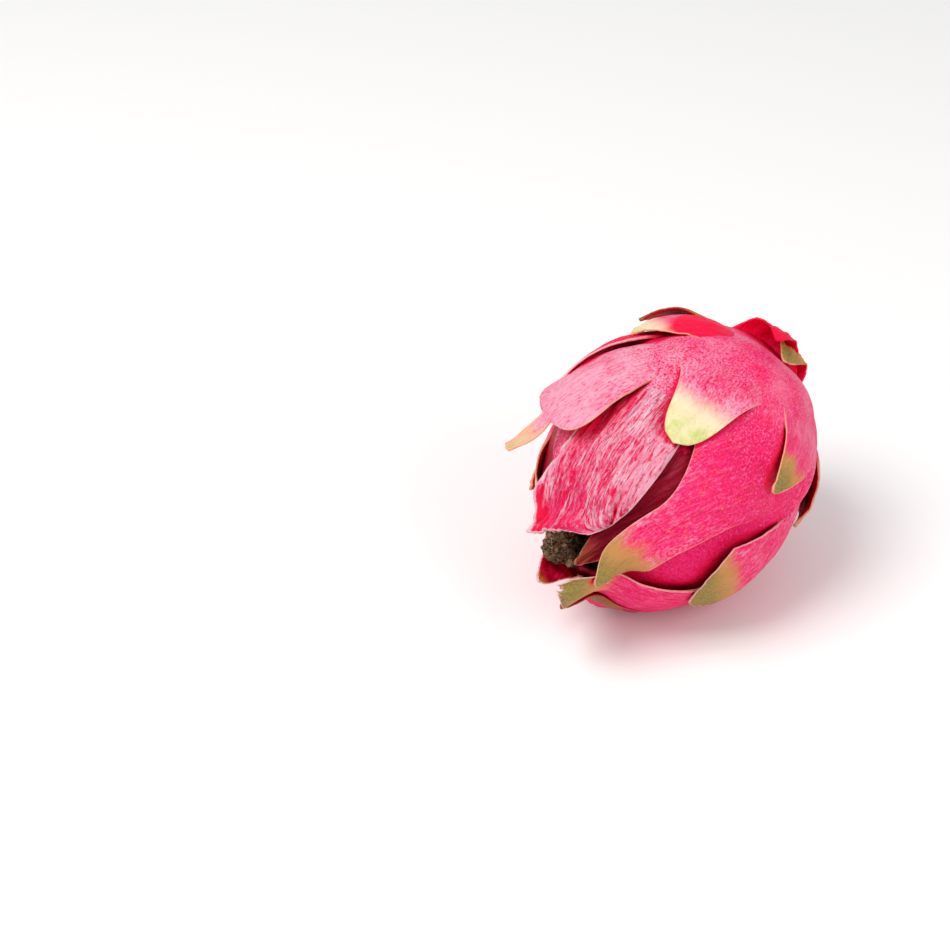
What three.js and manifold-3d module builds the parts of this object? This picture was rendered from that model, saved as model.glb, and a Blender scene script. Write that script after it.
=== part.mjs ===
// A whole red-skinned dragon fruit (pitaya) lying on its side, on a small flat spot.
//
// Millimetres, +Z up. The fruit is shaped in its own frame: +X runs along its axis from the
// stem end to the flower end, and an azimuth of 0 is its top, 90 degrees its +Y side. The
// outer group then tips the flower end down a little and stands the fruit on the surface.
//
// Pieces: the rind with its leafy scales (one grown body), the dried flower in the navel,
// and the stub of the cut stem.

import * as THREE from 'three';
import { mergeVertices } from 'three/addons/utils/BufferGeometryUtils.js';
import Module from 'manifold-3d';

// ---- driving dimensions ---------------------------------------------------------------

const RADIUS = 44;              // of the rind at its widest
const STEM_HALF = 55;           // from the widest place to the stem end
const NAVEL_HALF = 54;          // from the widest place to the flower end, were it closed
const FULLNESS = 2.15;          // exponent of the profile: 2 is an ellipse, more is fuller
const RINGS = 30;               // rings of faces along the rind
const AROUND = 44;              // faces round it
const LUMP = 0.7;               // height of the rind's slow swells

const MOUTH_RADIUS = 14.5;      // lip of the navel
const NAVEL_DEPTH = 9;
const NAVEL_FLOOR = 11;         // radius of its floor
const SCAR_RADIUS = 5.4;        // pocket round the stem stub
const SCAR_DEPTH = 4;

const CROWN_RADIUS = 13.5;      // the scales close in to a tube of this radius past the lip
const CROWN_SLOPE = -0.15;      // and end on this slope
const CROWN_EASE = 0.05;        // share of the way to that slope, each step

const ROOT_SINK = 2.5;          // depth of a scale's root below the rind
const ROOT_RUN = 0.12;          // share of its length that is buried behind the root
const SHEET = 1.1;              // thickness of a scale far from its root
const ROOT_SHEET = 3.6;         // and at its root
const CUSHION = 2.0;            // height of the swelling that carries a scale
const STEPS = 9;                // faces along a scale
const STRIPS = 6;               // and across it
const TIP_DENSITY = 1.3;        // crowds its faces towards the tip
const SMALL = 39;               // scales shorter than this have two thirds as many

const TILT = 6;                 // degrees that the flower end hangs down
const GAP = 0.4;                // between the rind and the pieces that sit in it

// Place of the zero of the fruit's own frame. It centres the whole over the origin, and is a
// little lower than the underside is deep, which flattens the spot that the fruit rests on.
const CENTRE = new THREE.Vector3(-10.56, 0.26, 44.3);

const DEG = Math.PI / 180;
const { sin, cos, min, max, abs, hypot, pow, sqrt, PI } = Math;

// ---- the scales ------------------------------------------------------------------------
// x, phi          place of the root: along the axis, and azimuth in degrees
// length          along its middle
// width           at the base; left and right (towards lower and higher azimuth) may differ
// tongue          width of the narrow end that carries the tip
// flare           where the wide base ends, as a share of the length
// grow            share of the base's width at the root, if it widens from there
// hold, fall      exponents of the base's narrowing: how long it stays wide, how it then falls
// blunt, round    exponents of the tip: larger blunt and smaller round give a squarer end
// bulge           extra width half way, left and right
// tip             width that is left at the very tip
// tongueLeft ...  the tongue and the tip may also differ from side to side
// ear, earLift    how far the left corner of its end stands out, forwards and off the surface
// heading, turn   degrees off the axis, and how much that changes towards the tip
// lift, end       degrees off the surface at the root and at the tip
// curl            extra degrees off it over the last third
// cup             curvature across, 1 follows the rind; from the root to the tip
// wave            height of the waves in the margin, and their number

const USUAL = {
  width: 30, tongue: 12, flare: 1, grow: 1, hold: 1, fall: 1.5, blunt: 3, round: 0.6,
  bulgeLeft: 0, bulgeRight: 0, tip: 3, heading: 0, turn: 0, late: 1, lift: 8, end: 0,
  ear: 0, earLift: 0, curl: 0, cup: 1, cupEnd: 1, wave: 0, waves: 1.5,
};

const SHOWN_SCALES = [
  { name: 'crown upper', x: -13, phi: 0, length: 70, left: 74, right: 46, tongue: 8, flare: 0.73,
    grow: 0.2, hold: 8, fall: 0.5, tip: 3, heading: -29, turn: -60, late: 5,
    lift: 11, end: 9, curl: 34, cupEnd: 0.6, wave: 1 },
  { name: 'crown broad', x: -2, phi: -6, length: 69, left: 20, right: 46, tongue: 40, hold: 1.2,
    fall: 0.9, blunt: 7, round: 0.5, bulgeLeft: -13, bulgeRight: 12, tip: 24, tipLeft: 16,
    tipRight: 20, ear: 5, earLift: 6, heading: -3, turn: -32, late: 2, lift: 7, end: 0,
    cupEnd: 0.6, wave: 0.8 },
  { name: 'shoulder', x: -24, phi: 17, length: 50, left: 60, right: 46, tongue: 24, fall: 3,
    blunt: 4, round: 0.5, bulgeLeft: -5, tip: 4, heading: 8, turn: 2, lift: 13, end: 0,
    cupEnd: 1.1 },
  { name: 'flank', x: -8, phi: 73, length: 81, left: 137, right: 30, tongue: 16, tongueRight: 35,
    flare: 0.6, hold: 1.2, fall: 2, blunt: 6, bulgeLeft: -5, bulgeRight: -10, tip: 5,
    heading: -16, turn: 64, late: 2.5, lift: 10, end: 2, wave: 0.8 },
  { name: 'side', x: -34, phi: 53, length: 44, width: 30, tongue: 12, fall: 1.2, tip: 5,
    heading: 24, turn: -14, lift: 18, end: -3 },
  { name: 'lower side', x: -16, phi: 90, length: 56, left: -6, right: 30, tongue: 42, flare: 0.62,
    fall: 1, blunt: 3.4, bulgeRight: 2, tip: 5, heading: 24, lift: 14, end: -2, cup: 1.15,
    cupEnd: 1.2 },
  { name: 'under crown', x: 12, phi: 132, length: 74, left: 36, right: 70, tongue: 18,
    tongueRight: 10, fall: 0.9, blunt: 4, round: 0.5, bulgeLeft: -11, bulgeRight: 6, tip: 5,
    tipRight: 3, heading: 2, turn: -38, late: 1.8, lift: 13, end: -6, cup: 0.85, cupEnd: 0.7,
    wave: 1 },
  { name: 'folded', x: -40, phi: -1, length: 39, width: 42, tongue: 18, blunt: 4, bulgeRight: 14,
    tip: 5, heading: -36, turn: 2, lift: 28, end: -16, cup: 1.0, cupEnd: 1.7 },
  { name: 'inner crown', x: 4, phi: 55, length: 68, width: 36, tongue: 20, blunt: 2.5, round: 0.8,
    lift: 5, end: -2 },
  { name: 'crown small', x: 42, phi: -136, length: 29.5, width: 22, blunt: 2.5, lift: 28,
    end: 0 },
  { name: 'far side', x: -42, phi: 114, length: 29, width: 34, heading: 5, lift: 27, end: -16 },
  { name: 'crown behind', x: -30, phi: -38, length: 50, width: 40, tongue: 14, heading: -18,
    lift: 19, end: -6 },
  { name: 'behind folded', x: -44, phi: -30, length: 29, width: 30, tongue: 16, blunt: 3.5,
    heading: -20, lift: 43, end: -10 },
  { name: 'collar 1', x: -49, phi: 9, length: 25.5, width: 30, heading: 20, lift: 68, end: -38 },
  { name: 'collar 2', x: -52, phi: 26, length: 25, width: 24, tongue: 14, heading: 8, lift: 60,
    end: -54 },
  { name: 'collar 3', x: -51, phi: 62, length: 14, width: 22, lift: 36, end: -40 },
  { name: 'under navel', x: 20, phi: 168, length: 55, width: 30, lift: 17, end: 0 },
];

// The side away from those follows a rule: rings of scales round the axis, evenly spaced,
// each one a little different.
const HIDDEN_RINGS = [
  { x: 12, from: -84, step: -39, count: 3, length: 46, width: 40, tongue: 14, lift: 8, end: 0 },
  { x: -14, from: -100, step: -42, count: 3, length: 45, width: 40, tongue: 13, lift: 11, end: 2 },
  { x: -36, from: -74, step: -42, count: 4, length: 36, width: 32, tongue: 11, lift: 14, end: 2 },
  { x: -51, from: -50, step: -58, count: 4, length: 15, width: 22, tongue: 10, lift: 34, end: -30 },
];
const HIDDEN_SHIFT = 3;         // most that a hidden scale moves along the axis
const HIDDEN_SWING = 5;         // degrees that it moves and turns
const HIDDEN_SIZE = 0.08;       // share that it grows or shrinks

function seeded(seed) {
  let state = seed;
  return () => {
    state = (Math.imul(state, 1664525) + 1013904223) >>> 0;
    return state / 4294967296;
  };
}

function hiddenScales() {
  const random = seeded(11);
  const vary = (amount) => (2 * random() - 1) * amount;
  const scales = [];
  for (const ring of HIDDEN_RINGS) {
    for (let i = 0; i < ring.count; i += 1) {
      scales.push({
        ...ring,
        name: `hidden ${scales.length + 1}`,
        x: ring.x + vary(HIDDEN_SHIFT),
        phi: ring.from + i * ring.step + vary(HIDDEN_SWING),
        length: ring.length * (1 + vary(HIDDEN_SIZE)),
        heading: vary(2 * HIDDEN_SWING),
      });
    }
  }
  return scales;
}

const SCALES = [...SHOWN_SCALES, ...hiddenScales()].map((scale) => {
  const full = { ...USUAL, ...scale };
  return {
    ...full,
    left: scale.left ?? full.width,
    right: scale.right ?? full.width,
    tongueLeft: scale.tongueLeft ?? full.tongue,
    tongueRight: scale.tongueRight ?? full.tongue,
    tipLeft: scale.tipLeft ?? full.tip,
    tipRight: scale.tipRight ?? full.tip,
  };
});

// ---- profile and guide -----------------------------------------------------------------

function rindRadius(x) {
  const half = x < 0 ? STEM_HALF : NAVEL_HALF;
  return RADIUS * sqrt(max(0, 1 - pow(abs(x) / half, FULLNESS)));
}

function lipX() {
  return NAVEL_HALF * pow(1 - (MOUTH_RADIUS / RADIUS) ** 2, 1 / FULLNESS);
}

// The guide is the line, turned round the axis, that the scales follow: the rind's profile,
// which near the flower end runs on as a closing tube.
function makeGuide() {
  const points = [];
  for (let i = 1; i <= 160; i += 1) {
    const x = -STEM_HALF * cos((i / 160) * PI / 2);
    points.push({ x, r: rindRadius(x) });
  }
  const step = 0.25;
  let slope = 0;
  for (let x = step; x < 95; x += step) {
    const last = points[points.length - 1];
    const next = rindRadius(x);
    if (next > CROWN_RADIUS + 4) {
      slope = (next - last.r) / step;
      points.push({ x, r: next });
    } else {
      slope += (CROWN_SLOPE - slope) * CROWN_EASE;
      points.push({ x, r: max(last.r + slope * step, 4) });
    }
  }
  return points;
}

const GUIDE = makeGuide();

// The frame on the guide nearest to a point: t along the profile, n outwards, b round the
// axis towards higher azimuth.
function guideFrame(point) {
  const r = hypot(point.y, point.z);
  const phi = Math.atan2(point.y, point.z);
  let best = 1;
  let bestDistance = Infinity;
  for (let i = 1; i < GUIDE.length - 1; i += 1) {
    const distance = hypot(GUIDE[i].x - point.x, GUIDE[i].r - r);
    if (distance < bestDistance) {
      best = i;
      bestDistance = distance;
    }
  }
  const dx = GUIDE[best + 1].x - GUIDE[best - 1].x;
  const dr = GUIDE[best + 1].r - GUIDE[best - 1].r;
  const run = hypot(dx, dr);
  const radial = new THREE.Vector3(0, sin(phi), cos(phi));
  const axial = new THREE.Vector3(1, 0, 0);
  return {
    t: axial.clone().multiplyScalar(dx / run).addScaledVector(radial, dr / run),
    n: radial.clone().multiplyScalar(dx / run).addScaledVector(axial, -dr / run),
    b: new THREE.Vector3(0, cos(phi), -sin(phi)),
    radius: max(GUIDE[best].r / max(dx / run, 0.35), 14),
  };
}

function polar(x, r, phi) {
  return new THREE.Vector3(x, r * sin(phi), r * cos(phi));
}

// ---- solids ----------------------------------------------------------------------------

const wasm = await Module();
wasm.setup();

function solid(geometry) {
  return new wasm.Manifold(new wasm.Mesh({
    numProp: 3,
    vertProperties: new Float32Array(geometry.attributes.position.array),
    triVerts: new Uint32Array(geometry.index.array),
  }));
}

function closedGeometry(positions, triangles) {
  const geometry = new THREE.BufferGeometry();
  geometry.setAttribute('position', new THREE.Float32BufferAttribute(positions, 3));
  geometry.setIndex(triangles);
  return geometry;
}

function bare(geometry) {
  geometry.deleteAttribute('normal');
  geometry.deleteAttribute('uv');
  return mergeVertices(geometry, 1e-4);
}

// Back to a geometry, keeping only the outer skin of the largest body, so that a hollow
// sealed under a scale is filled and no scrap stays loose.
function outerSkin(manifold) {
  const mesh = manifold.getMesh();
  const { triVerts, vertProperties, numProp } = mesh;
  const count = vertProperties.length / numProp;
  const parent = Array.from({ length: count }, (_, i) => i);
  const root = (i) => {
    let at = i;
    while (parent[at] !== at) {
      parent[at] = parent[parent[at]];
      at = parent[at];
    }
    return at;
  };
  const at = (i) => new THREE.Vector3().fromArray(vertProperties, i * numProp);
  for (let i = 0; i < triVerts.length; i += 3) {
    parent[root(triVerts[i])] = root(triVerts[i + 1]);
    parent[root(triVerts[i])] = root(triVerts[i + 2]);
  }
  const volumes = new Map();
  for (let i = 0; i < triVerts.length; i += 3) {
    const [a, b, c] = [at(triVerts[i]), at(triVerts[i + 1]), at(triVerts[i + 2])];
    const key = root(triVerts[i]);
    volumes.set(key, (volumes.get(key) ?? 0) + a.dot(b.cross(c)) / 6);
  }
  const largest = [...volumes.entries()].sort((one, other) => other[1] - one[1])[0][0];
  const places = new Map();
  const positions = [];
  const triangles = [];
  for (let i = 0; i < triVerts.length; i += 3) {
    if (root(triVerts[i]) !== largest) continue;
    for (const vertex of triVerts.slice(i, i + 3)) {
      if (!places.has(vertex)) {
        places.set(vertex, positions.length / 3);
        positions.push(...at(vertex).toArray());
      }
      triangles.push(places.get(vertex));
    }
  }
  return closedGeometry(positions, triangles);
}

// ---- rind ------------------------------------------------------------------------------

// The swelling that carries a scale, highest just behind its root and drawn out along its
// heading.
function cushion(scale, x, phi) {
  const radius = rindRadius(scale.x);
  const round = ((phi / DEG - scale.phi + 540) % 360) - 180;
  const along = x - scale.x;
  const across = round * DEG * radius;
  const heading = scale.heading * DEG;
  const u = along * cos(heading) + across * sin(heading);
  const v = across * cos(heading) - along * sin(heading);
  const reach = u < 0 ? 0.3 * scale.length : 0.2 * scale.length;
  const width = 0.32 * (scale.left + scale.right) / 2;
  return CUSHION * Math.exp(-((u / reach) ** 2) - ((v / width) ** 2));
}

function rindHeight(x, phi) {
  let height = LUMP * (sin(3 * phi + 0.06 * x) + 0.6 * sin(5 * phi - 0.09 * x + 1));
  for (const scale of SCALES) {
    height += cushion(scale, x, phi);
  }
  return height;
}

function rindGeometry() {
  const start = Math.acos(sqrt(1 - (1.2 * SCAR_RADIUS / RADIUS) ** 2) ** (2 / FULLNESS));
  const lip = lipX();
  const profile = [[-STEM_HALF + SCAR_DEPTH, 0], [-STEM_HALF + SCAR_DEPTH, SCAR_RADIUS]];
  for (let i = 0; i <= RINGS; i += 1) {
    const angle = start + (PI - 2 * start) * (i / RINGS);
    const x = -cos(angle) * (angle < PI / 2 ? STEM_HALF : NAVEL_HALF);
    if (x < lip - 1) profile.push([x, rindRadius(x)]);
  }
  profile.push([lip, MOUTH_RADIUS], [lip + 0.4, MOUTH_RADIUS - 1.1], [lip - 0.8, MOUTH_RADIUS - 2]);
  profile.push([lip - 0.6 * NAVEL_DEPTH, NAVEL_FLOOR + 0.8], [lip - NAVEL_DEPTH, NAVEL_FLOOR - 1.5]);
  profile.push([lip - NAVEL_DEPTH, 0]);
  const lathe = new THREE.LatheGeometry(profile.map(([x, r]) => new THREE.Vector2(r, x)), AROUND);
  const geometry = bare(lathe.rotateZ(-PI / 2));
  const place = geometry.attributes.position;
  for (let i = 0; i < place.count; i += 1) {
    const point = new THREE.Vector3().fromBufferAttribute(place, i);
    const r = hypot(point.y, point.z);
    const inside = r < rindRadius(point.x) - 1 || r < 1.3 * SCAR_RADIUS;
    if (!inside) {
      const phi = Math.atan2(point.y, point.z);
      const fade = min(1, (lip - point.x) / 8, (point.x + STEM_HALF) / 6);
      point.addScaledVector(guideFrame(point).n, max(0, fade) * rindHeight(point.x, phi));
      place.setXYZ(i, point.x, point.y, point.z);
    }
  }
  return geometry;
}

// ---- one scale -------------------------------------------------------------------------

function halfWidth(scale, u, side) {
  const wide = side < 0 ? scale.left : scale.right;
  const narrow = side < 0 ? scale.tongueLeft : scale.tongueRight;
  const bulge = side < 0 ? scale.bulgeLeft : scale.bulgeRight;
  const tip = side < 0 ? scale.tipLeft : scale.tipRight;
  const tongue = narrow * pow(1 - pow(u, scale.blunt), scale.round);
  const base = min(u / scale.flare, 1);
  const spread = scale.grow + (1 - scale.grow) * base;
  const flare = (wide - narrow) * spread * pow(1 - pow(base, scale.hold), scale.fall);
  return max(tip, tongue + flare + bulge * sin(PI * u)) / 2;
}

// A scale is a sheet swept along a line that starts under the rind and follows the guide.
function scaleGeometry(scale) {
  const positions = [];
  const rootRadius = rindRadius(scale.x);
  const spine = polar(scale.x, rootRadius, scale.phi * DEG);
  spine.addScaledVector(guideFrame(spine).n, -ROOT_SINK);
  const coarse = scale.length < SMALL ? 2 / 3 : 1;
  const [steps, strips] = [STEPS * coarse, STRIPS * coarse];
  const spacing = (i) => -ROOT_RUN + (1 + ROOT_RUN) * (1 - pow(1 - i / steps, TIP_DENSITY));
  for (let i = 0; i <= steps; i += 1) {
    const u = max(0, spacing(i));
    const { t, n, b, radius } = guideFrame(spine);
    const curl = scale.curl * max(0, 3 * u - 2) ** 2;
    const lift = (scale.lift + (scale.end - scale.lift) * u + curl) * DEG;
    const heading = (scale.heading + scale.turn * pow(u, scale.late)) * DEG;
    const forward = t.clone().multiplyScalar(cos(heading)).addScaledVector(b, sin(heading));
    const across = b.clone().multiplyScalar(cos(heading)).addScaledVector(t, -sin(heading));
    const up = n.clone().multiplyScalar(cos(lift)).addScaledVector(forward, -sin(lift));
    const along = forward.multiplyScalar(cos(lift)).addScaledVector(n, sin(lift));
    const cup = (scale.cup + (scale.cupEnd - scale.cup) * u) / radius;
    for (let j = 0; j <= strips; j += 1) {
      const v = 2 * j / strips - 1;
      const bow = cup * v * halfWidth(scale, u, v);
      const outwards = up.clone().multiplyScalar(cos(bow)).addScaledVector(across, sin(bow));
      const wave = scale.wave * v * v * min(1, 3 * u) * sin(2 * PI * scale.waves * u + PI * j / strips);
      const middle = spine.clone().addScaledVector(across, sin(bow) / cup);
      middle.addScaledVector(up, -(1 - cos(bow)) / cup).addScaledVector(outwards, wave);
      const corner = min(0, v) ** 2 * max(0, 4 * u - 3) ** 2;
      middle.addScaledVector(along, scale.ear * corner).addScaledVector(up, scale.earLift * corner);
      const sheet = (SHEET + (ROOT_SHEET - SHEET) * pow(1 - u, 3)) * (1 - 0.3 * v * v);
      positions.push(...middle.clone().addScaledVector(outwards, sheet / 2).toArray());
      positions.push(...middle.clone().addScaledVector(outwards, -sheet / 2).toArray());
    }
    if (i < steps) spine.addScaledVector(along, scale.length * (spacing(i + 1) - spacing(i)));
  }
  return closedGeometry(positions, sheetTriangles(steps, strips));
}

// Triangles of a sheet whose points come in pairs, outer face then inner face, in rows. Both
// faces are split along the same diagonals.
function sheetTriangles(rows, columns) {
  const outer = (i, j) => 2 * (i * (columns + 1) + j);
  const inner = (i, j) => outer(i, j) + 1;
  const triangles = [];
  const quad = (a, b, c, d) => triangles.push(a, b, c, a, c, d);
  for (let i = 0; i < rows; i += 1) {
    for (let j = 0; j < columns; j += 1) {
      quad(outer(i, j), outer(i + 1, j), outer(i + 1, j + 1), outer(i, j + 1));
      triangles.push(inner(i, j), inner(i + 1, j + 1), inner(i + 1, j));
      triangles.push(inner(i, j), inner(i, j + 1), inner(i + 1, j + 1));
    }
    quad(outer(i, 0), inner(i, 0), inner(i + 1, 0), outer(i + 1, 0));
    quad(outer(i, columns), outer(i + 1, columns), inner(i + 1, columns), inner(i, columns));
  }
  for (let j = 0; j < columns; j += 1) {
    quad(outer(0, j), outer(0, j + 1), inner(0, j + 1), inner(0, j));
    quad(outer(rows, j), inner(rows, j), inner(rows, j + 1), outer(rows, j + 1));
  }
  return triangles;
}

// ---- dried flower and stem stub --------------------------------------------------------

const FLOWER_RADIUS = NAVEL_FLOOR - 2.4;
const FLOWER_HEIGHT = 8;        // of the crumbly base, above the navel's floor
const FLOWER_HEAP = 9;          // rise of its top towards the side where most of it has stayed
const CRUMBS = 22;
const FLAPS = 11;               // withered petal ends
const FLOWER_SIDE = -100;       // azimuth of that side

function heaped(point) {
  const side = polar(0, 1, FLOWER_SIDE * DEG);
  const rise = FLOWER_HEAP * max(0, point.dot(side) / FLOWER_RADIUS + 0.2);
  return point.clone().addScaledVector(side, 0.4 * rise).add(new THREE.Vector3(rise, 0, 0));
}

// The withered base fills the bottom of the navel; crumbs and petal ends stand out of it.
function driedFlowerGeometry() {
  const random = seeded(5);
  const base = lipX() - NAVEL_DEPTH + GAP;
  const profile = [[base, 0], [base, FLOWER_RADIUS], [base + 0.6 * FLOWER_HEIGHT, FLOWER_RADIUS + 0.6],
    [base + FLOWER_HEIGHT, 0.7 * FLOWER_RADIUS], [base + 0.9 * FLOWER_HEIGHT, 0]];
  const lathe = new THREE.LatheGeometry(profile.map(([x, r]) => new THREE.Vector2(r, x)), 14);
  const geometry = bare(lathe.rotateZ(-PI / 2));
  const place = geometry.attributes.position;
  for (let i = 0; i < place.count; i += 1) {
    const point = new THREE.Vector3().fromBufferAttribute(place, i);
    if (point.x > base + 1) place.setXYZ(i, ...heaped(point).toArray());
  }
  let flower = solid(geometry);
  for (let i = 0; i < CRUMBS; i += 1) {
    const crumb = new THREE.IcosahedronGeometry(1.2 + 0.9 * random(), 0);
    const phi = (FLOWER_SIDE + 300 * (random() - 0.5)) * DEG;
    const height = base + FLOWER_HEIGHT * (0.7 + 0.35 * random());
    const centre = heaped(polar(height, FLOWER_RADIUS * sqrt(random()), phi));
    crumb.rotateX(6 * random()).rotateY(6 * random()).translate(centre.x, centre.y, centre.z);
    flower = flower.add(solid(bare(crumb)));
  }
  for (let i = 0; i < FLAPS; i += 1) {
    const height = 4 + 3 * random();
    const flap = new THREE.ConeGeometry(2.3, height, 5).translate(0, height / 2 - 1.5, 0);
    flap.scale(1, 1, 0.45).rotateX(0.25 - 0.5 * random()).rotateZ(-PI / 2);
    const phi = FLOWER_SIDE + 220 * (i / (FLAPS - 1) - 0.5) + 12 * (random() - 0.5);
    const out = FLOWER_RADIUS * (0.55 + 0.3 * random());
    const foot = heaped(polar(base + 0.7 * FLOWER_HEIGHT, out, phi * DEG));
    flap.rotateX(-phi * DEG).translate(foot.x, foot.y, foot.z);
    flower = flower.add(solid(bare(flap)));
  }
  return outerSkin(flower);
}

const STUB_RADIUS = SCAR_RADIUS - 2 * GAP;
const STUB_END = 5.5;           // past the stem end of the rind
const STUB_WING = 0.5;          // the stem has three low wings

function stemStubGeometry() {
  const inner = -STEM_HALF + SCAR_DEPTH - GAP;
  const end = -STEM_HALF - STUB_END;
  const profile = [[end, 0], [end, 0.92 * STUB_RADIUS], [0.6 * end + 0.4 * inner, 0.86 * STUB_RADIUS],
    [0.3 * end + 0.7 * inner, STUB_RADIUS], [inner, STUB_RADIUS], [inner, 0]];
  const lathe = new THREE.LatheGeometry(profile.map(([x, r]) => new THREE.Vector2(r, x)), 18);
  const geometry = bare(lathe.rotateZ(-PI / 2));
  const place = geometry.attributes.position;
  for (let i = 0; i < place.count; i += 1) {
    const phi = Math.atan2(place.getY(i), place.getZ(i));
    const wing = 1 - (STUB_WING * (1 - cos(3 * phi))) / STUB_RADIUS;
    place.setXYZ(i, place.getX(i), place.getY(i) * wing, place.getZ(i) * wing);
  }
  return geometry;
}

// ---- fruit -----------------------------------------------------------------------------

// A block that fills the space under the surface, in the fruit's own frame.
function surfaceBlock() {
  const block = new THREE.BoxGeometry(400, 400, 100);
  block.translate(0, 0, -50 - CENTRE.z);
  return bare(block.rotateY(-TILT * DEG));
}

function fruitGeometry() {
  let fruit = solid(rindGeometry());
  for (const scale of SCALES) {
    fruit = fruit.add(solid(scaleGeometry(scale)));
  }
  return outerSkin(fruit.subtract(solid(surfaceBlock())));
}

function named(name, geometry, color, roughness) {
  const mesh = new THREE.Mesh(geometry, new THREE.MeshStandardMaterial({ color, roughness, metalness: 0 }));
  mesh.name = name;
  return mesh;
}

const tipped = new THREE.Group();
tipped.rotation.y = TILT * DEG;
tipped.position.copy(CENTRE);
tipped.add(
  named('fruit', fruitGeometry(), 0xe0245e, 0.45),
  named('dried_flower', driedFlowerGeometry(), 0x8a6a48, 0.95),
  named('stem_stub', stemStubGeometry(), 0x8f9a55, 0.8),
);

const dragonFruit = new THREE.Group();
dragonFruit.add(tipped);

export default dragonFruit;
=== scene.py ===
"""A whole red-skinned dragon fruit lying on its side: its rind and leafy scales, the dried
flower in its navel and the stub of its stem, with their finishes, on a plain floor."""

import functools
import math

import bmesh
import bpy
from bpy.props import FloatProperty, FloatVectorProperty, PointerProperty
from mathutils import Matrix, Vector, kdtree, noise
from mathutils.bvhtree import BVHTree


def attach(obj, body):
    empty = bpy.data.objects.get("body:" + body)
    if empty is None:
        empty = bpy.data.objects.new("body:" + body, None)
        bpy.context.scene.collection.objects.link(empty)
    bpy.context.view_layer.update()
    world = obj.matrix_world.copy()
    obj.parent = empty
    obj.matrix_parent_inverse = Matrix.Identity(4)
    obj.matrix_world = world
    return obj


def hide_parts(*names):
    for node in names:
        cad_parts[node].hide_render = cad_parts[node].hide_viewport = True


bl_info = {
    "name": "Dragon Fruit",
    "version": (1, 0, 0),
    "blender": (4, 5, 0),
    "location": "View3D > Sidebar > Dragon Fruit",
    "description": "Dresses a dragon fruit: rind, scales, dried flower, stem stub and stage",
    "category": "Add Mesh",
}

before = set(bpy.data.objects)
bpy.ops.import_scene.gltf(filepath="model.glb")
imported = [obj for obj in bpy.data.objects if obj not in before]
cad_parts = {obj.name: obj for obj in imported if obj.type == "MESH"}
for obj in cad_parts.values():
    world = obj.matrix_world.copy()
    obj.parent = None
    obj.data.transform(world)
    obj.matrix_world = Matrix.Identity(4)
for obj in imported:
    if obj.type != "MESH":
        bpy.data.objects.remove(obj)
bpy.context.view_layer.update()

# ---- sizes of the fruit, in millimetres -------------------------------------------------

MM = 0.001
RADIUS = 44                 # of the rind at its widest
STEM_HALF = 55              # from the widest place to the stem end
NAVEL_HALF = 54             # from the widest place to the flower end, were it closed
FULLNESS = 2.15             # exponent of the profile: 2 is an ellipse, more is fuller
LUMP = 0.7                  # height of the rind's slow swells
MOUTH_RADIUS = 14.5         # lip of the navel
NAVEL_DEPTH = 9
NAVEL_FLOOR = 11            # radius of its floor
SCAR_RADIUS = 5.4           # pocket round the stem stub
SCAR_DEPTH = 4
CROWN_RADIUS = 13.5         # the scales close in to a tube of this radius past the lip
CROWN_SLOPE = -0.15         # and end on this slope
CROWN_EASE = 0.05           # share of the way to that slope, each step
CROWN_NARROWEST = 4
GUIDE_STEPS = 160           # of the guide from the stem end to the widest place
GUIDE_STEP = 0.25           # length of its steps from there on
GUIDE_END = 95              # where it ends
ROOT_SINK = 2.5             # depth of a scale's root below the rind
ROOT_RUN = 0.12             # share of its length that is buried behind the root
SHEET = 1.1                 # thickness of a scale far from its root
ROOT_SHEET = 3.6            # and at its root
CUSHION = 2.0               # height of the swelling that carries a scale
CUSHION_BACK = 0.3          # its reach behind the root and ahead, as shares of the length
CUSHION_AHEAD = 0.2
CUSHION_SIDE = 0.16         # and sideways, as a share of the width
GAP = 0.4                   # between the rind and the pieces that sit in it
TILT = math.radians(6)      # how far the flower end hangs down
CENTRE = Vector((-10.56, 0.26, 44.3))  # the fruit's own zero, above the floor

TO_FRAME = Matrix.Scale(MM, 4) @ Matrix.Translation(CENTRE) @ Matrix.Rotation(TILT, 4, "Y")

# ---- the scales -------------------------------------------------------------------------
# x, phi          place of the root: along the axis, and degrees round it
# length, width   the base's width; left and right (towards lower and higher phi) may differ
# tongue          width of the narrow end that carries the tip
# flare, grow     where the wide base ends, and the share of its width that it has at the root
# hold, fall      exponents of the base's narrowing
# blunt, round    exponents of the tip
# bulge_left ...  extra width half way
# tip             width that is left at the very tip
# tongue_left ... the tongue and the tip may also differ from side to side
# corner_left ... how far the corners of its end stand back, half the tip where not given
# ear, ear_lift   how far the left corner of its end stands out, forwards and off the surface
# heading, turn   degrees off the axis, and how much that changes towards the tip
# lift, end       degrees off the surface at the root and at the tip
# cup, cup_end    curvature across, 1 follows the rind
# curl            extra degrees off the surface over the last third
# wave, waves     height and number of the waves in the margin
# pale, pale_end  how frosted its face is at the root and at the tip
# pale_left ...   how much more so at the margins, past half way
# red, shade      how bright red it is towards the root, as painted glow, and how dark all over, as painted shade
# red_to          share of the length where the red ends; red_slant shifts that end sideways
# green, olive    share of the length where the green end starts, and how dull that green is
# rim, rim_end    width of the light rim at the root and at the tip
# rime            how pinkish white that rim is
# wrinkle         height of the lengthwise folds, and strength of the painted highlight and shade along them
# scuffs          share of its face that is scuffed
# roll_left ...   height of the rolled margins
# ragged          depth of the tears in its end, as a share of the length
# rows, columns   faces along and across

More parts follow.
